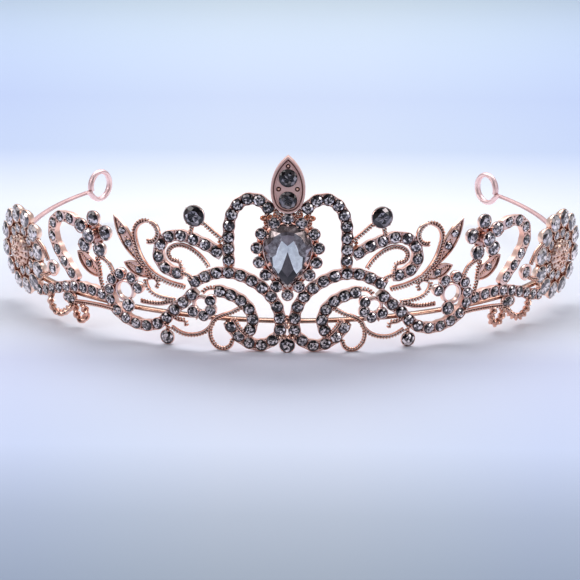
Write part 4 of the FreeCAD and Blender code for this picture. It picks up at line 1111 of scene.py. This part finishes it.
def medallion(side, word):
    """Large round flower: two rings of stones round a grained boss."""
    build = Build()
    petals = Build()
    inner = Build()
    along = side * MEDALLION_PLACE[0]
    turn = MEDALLION_TURN if side > 0 else 180 - MEDALLION_TURN
    place = on_surface(along, MEDALLION_PLACE[1])
    place = place @ shift(side * MEDALLION_STEP, 0) @ spin(turn)
    build.turned([(3.4, -1.6), (8.6, -1.6), (8.9, -1.45), (8.8, -1.1), (7.0, -0.95), (6.6, -0.7),
                  (4.3, -0.7), (4.0, -0.9), (3.4, -1.0)], place, 60)
    for index in range(MEDALLION_PETALS):
        petal = place @ spin(360 * index / MEDALLION_PETALS) @ shift(MEDALLION_RADIUS, 0)
        petal = petal @ Matrix.Rotation(math.radians(PETAL_TILT), 4, "Y")
        cup_and_stone(build, petals, petal, "medallion_outer")
    for index in range(MEDALLION_INNER_COUNT):
        seat = place @ spin(360 * index / MEDALLION_INNER_COUNT) @ shift(MEDALLION_INNER, 0)
        cup_and_stone(build, inner, seat, "medallion_inner")

    def wave(angle):
        return 1 + 0.05 * math.cos(MEDALLION_PETALS * angle)

    build.turned([(3.4, -1.0), (3.75, -0.2), (3.65, 0.3), (3.3, 0.75), (2.6, 1.15), (1.6, 1.42),
                  (0.6, 1.5)], place, 72, wave=wave)
    for count, radius, height, radii in ((14, 3.4, 0.8, (0.36, 0.42, 0.34)),
                                         (10, 2.3, 1.35, (0.62, 0.24, 0.3)),
                                         (6, 1.1, 1.6, (0.3, 0.34, 0.3))):
        for index in range(count):
            build.bead(place @ spin(360 * index / count) @ shift(radius, 0, height), radii)
    build.bead(place @ shift(0, 0, 1.65), (0.6, 0.6, 0.5), sides=12, rows=7)
    make(build, "medallion_" + word, [GOLD])
    make(petals, "medallion_petals_" + word, [SMOKE], "smoke_glass")
    make(inner, "medallion_stones_" + word, [SMOKE], "smoke_glass")


def leaves(side, word):
    """Pointed leaves with a raised rim, small stones and a beaded floor."""
    build = Build()
    gems = Build()
    for tip, base, width, shares in LEAVES:
        run = (side * (tip[0] - base[0]), tip[1] - base[1])
        length = math.hypot(*run)
        turn = math.degrees(math.atan2(run[1], run[0])) - 90
        place = on_surface(side * (tip[0] + base[0]) / 2, (tip[1] + base[1]) / 2, 0.0, turn)

        def outline(grow, half=width / 2, reach=length / 2):
            return leaf_outline(half, reach, grow)

        rows = [(-0.3, -1.0), (0.0, -0.8), (0.0, 0.05), (-0.08, 0.14), (-0.24, 0.14), (-0.34, 0.02),
                (-0.42, -0.28)]
        stepped(build, outline, rows, place)
        spots = [(share - 0.5) * length for share in shares]
        for spot in spots:
            seat = place @ shift(0, spot, -0.1)
            build.turned([(0.98, -0.18), (1.0, 0.02), (0.93, 0.06), (0.86, 0.0), (0.8, -0.1)], seat, 18)
            stone(gems, seat, LEAF_STONE, 0.06)
        for step in range(-6, 7):
            spot = step * length / 15
            width_here = width / 2 * (1 - (2 * spot / length) ** 2) - 0.45
            if width_here > 0.15 and all(abs(spot - s) > 1.15 for s in spots):
                build.bead(place @ shift(0, spot, -0.2), (min(0.42, width_here), 0.3, 0.2))
    make(build, "leaves_" + word, [ROPE])
    make(gems, "leaf_stones_" + word, [SMOKE], "smoke_glass")


def half_front(side, word):
    """All the pieces of one half, in front of the band."""
    gems = Build()
    for name, (points, count, bare_start, bare_end) in STRIPS.items():
        build = Build()
        strip(build, gems, mirrored(points, side), count, bare_start, bare_end)
        make(build, "%s_%s" % (name, word), [ROSE, SATIN])
    for name, routes in ROPES.items():
        build = Build()
        for bead_side, points in routes:
            rope(build, mirrored(points, side), bead_side * side, ROPE_SIZE)
        if name == "front_ropes":
            solder(build, side)
        if name == "crozier_rope":
            rope(build, mirrored(HOOK, side), side, HOOK_SIZE, HOOK_FLIP)
        if name == "side_ropes":
            for points in CURLS:
                twisted(build, mirrored(points, side), CURL_SIZE)
        make(build, "%s_%s" % (name, word), [ROPE, BRAZE], weld=0)
    lone = Build()
    lone_gems = Build()
    for node, design in (("eyelet_ring_", EYELET), ("ring_rosette_", ROSETTE)):
        build = Build()
        place = ringed(build, gems, *design, side)
        if design is ROSETTE:
            spot = polar(*ROSETTE_LARGE)
            seat = place @ shift(side * spot.x, spot.y, 0.1)
            cup(build, seat, *ROSETTE_CUP)
            stone(lone_gems, seat, ROSETTE_STONE)
        make(build, node + word, [ROSE])
    make(gems, "strip_stones_" + word, [SMOKE], "smoke_glass")
    flower(side, word)
    medallion(side, word)
    leaves(side, word)
    for kind, (along, height), stretch in (("ball", BALL_PLACE, (1, 1)), ("drop", DROP_PLACE, (1, 1)),
                                           ("side", SIDE_PLACE, (1, 1)), ("oval", OVAL_PLACE, OVAL)):
        place = on_surface(side * along, height) @ Matrix.Diagonal((*stretch, 1, 1))
        cup_and_stone(lone, lone_gems, place, kind)
    make(lone, "bezel_cups_" + word, [ROSE])
    make(lone_gems, "bezel_stones_" + word, [SMOKE], "smoke_glass")


def solder(build, side):
    """Flattened blobs of solder where the arch, the finial, the drop and the wires meet."""
    for index, ((along, height), size) in enumerate(SOLDER):
        place = on_surface(side * along, height, -0.1, 37 * index)
        build.bead(place, (size, 0.75 * size, 0.6 * size), 1, 10, 7)


def centre_ties():
    """Short twisted wires between the two halves."""
    build = Build()
    for points in CENTRE_TIES:
        twisted(build, points, ROPE_SIZE)
    make(build, "centre_ties", [ROPE], weld=0)


def base():
    """Cup and stone at the foot of the middle."""
    build = Build()
    gems = Build()
    cup_and_stone(build, gems, on_surface(*BASE_PLACE), "base")
    make(build, "base_cup", [ROSE])
    make(gems, "base_stone", [SMOKE], "smoke_glass")


headband()
end_loops()
pear_drop()
halo()
finial()
centre_ties()
base()
for side, word in SIDES:
    half_front(side, word)

# ---------------------------------------------------------------- floor, lights and camera


# metres from the floor's origin to below the camera
CAMERA_DISTANCE = 0.34
# where the camera stands in millimetres, its turns in degrees, and its lens
CAMERA_PLACE = (3.98, -285.4 - ORIGIN_DEPTH, 108.8 + FLOOR_GAP)
CAMERA_YAW, CAMERA_PITCH, CAMERA_ROLL = -0.688, 18.344, 0.316
CAMERA_LENS = 85.35


def floor():
    """Pale floor with painted light and shade: a white pool of painted light round and behind the tiara,
    painted shade towards the camera, far behind and to the sides; its tint follows the distance and the
    bearing from the camera.
    """
    mesh = bpy.data.meshes.new("floor")
    reach = 2.5
    mesh.from_pydata([(-reach, -reach, 0), (reach, -reach, 0), (reach, reach, 0), (-reach, reach, 0)], [],
                     [[0, 1, 2, 3]])
    material, tree, shader = new_material("floor_paper_painted_light")
    x, y, _ = axes_of(tree, "Object")
    distance = new_node(tree, "MapRange", {"Value": y, "From Min": -0.16, "From Max": 0.64})
    # painted light and shade by distance: dark near the camera, a painted pool of light from 0.155 to
    # 0.29, darker again far behind
    stops = [(0.0, (0.34, 0.40, 0.49)), (0.035, (0.49, 0.55, 0.66)), (0.07, (0.73, 0.79, 0.95)),
             (0.125, (0.79, 0.81, 0.95)), (0.155, (0.97, 0.97, 1.0)), (0.29, (0.98, 0.99, 1.0)),
             (0.39, (0.61, 0.69, 0.85)), (0.52, (0.57, 0.65, 0.84)), (1.0, (0.76, 0.89, 1.0))]
    colour = ramp_of(tree, distance.outputs[0], stops)
    depth = new_node(tree, "Math", {0: y, 1: CAMERA_DISTANCE})
    bearing = new_node(tree, "Math", {0: x, 1: depth.outputs[0]})
    bearing.operation = "DIVIDE"
    width = new_node(tree, "Math", {0: bearing.outputs[0]})
    width.operation = "ABSOLUTE"
    # painted shade that darkens the floor towards the sides
    sides = ramp_of(tree, width.outputs[0],
                    [(0.05, (1.0, 1.0, 1.0)), (0.13, (0.95, 0.97, 1.0)), (0.21, (0.89, 0.92, 1.0))])
    connect(tree, shader, {"Base Color": mixed(tree, 1.0, colour, sides, "MULTIPLY"),
                           "Roughness": 0.6, "Specular IOR Level": 0.25})
    mesh.materials.append(material)
    new_object("floor", mesh)


def area_light(name, place, aim, width, height, power, colour=(1, 1, 1)):
    """Soft box at a place, aimed at a point; metres and watts."""
    data = bpy.data.lights.new(name, "AREA")
    data.shape = "RECTANGLE"
    data.size = width
    data.size_y = height
    data.energy = power
    data.color = colour
    light = new_object(name, data)
    light.location = place
    direction = Vector(aim) - Vector(place)
    light.rotation_euler = direction.to_track_quat("-Z", "Y").to_euler()


def studio():
    """Even tent light with a darker stretch above the camera, and soft boxes."""
    world = bpy.data.worlds.new("studio")
    bpy.context.scene.world = world
    world.use_nodes = True
    tree = world.node_tree
    _, y, z = axes_of(tree, "Generated")
    height = ramp_of(tree, z, [(0.0, (0.55, 0.56, 0.62)), (0.12, (0.5, 0.5, 0.56)),
                               (0.3, (0.05, 0.045, 0.06)), (0.6, (0.06, 0.06, 0.08)),
                               (0.85, (0.9, 0.92, 1.0))])
    behind = new_node(tree, "MapRange", {"Value": y, "From Min": -0.25, "From Max": 0.35})
    colour = mixed(tree, behind.outputs[0], height, (0.92, 0.95, 1.0, 1))
    connect(tree, tree.nodes["Background"], {"Color": colour, "Strength": 0.5})
    area_light("back_box", (0.02, 0.40, 0.58), (0, 0.0, 0.0), 1.1, 0.34, 4.4, (0.97, 0.98, 1.0))
    area_light("left_box", (-0.5, -0.25, 0.35), (0, 0, 0.02), 0.3, 0.3, 0.9)
    area_light("right_box", (0.5, -0.3, 0.3), (0, 0, 0.02), 0.3, 0.3, 0.7)


def camera():
    """Camera fitted to the photograph."""
    data = bpy.data.cameras.new("camera")
    data.sensor_width = 36.0
    data.lens = CAMERA_LENS
    data.clip_start = 0.01
    data.clip_end = 20.0
    yaw, pitch, roll = (math.radians(a) for a in (CAMERA_YAW, CAMERA_PITCH, CAMERA_ROLL))
    forward = Vector((math.sin(yaw) * math.cos(pitch), math.cos(yaw) * math.cos(pitch), -math.sin(pitch)))
    level = forward.cross(Vector((0, 0, 1))).normalized()
    upright = level.cross(forward)
    right = math.cos(roll) * level + math.sin(roll) * upright
    up = math.cos(roll) * upright - math.sin(roll) * level
    eye = new_object("camera", data)
    eye.matrix_world = placement(right, up, -forward, Vector(CAMERA_PLACE) * MM)
    bpy.context.scene.camera = eye


floor()
studio()
camera()
bpy.context.scene.view_settings.view_transform = "Standard"
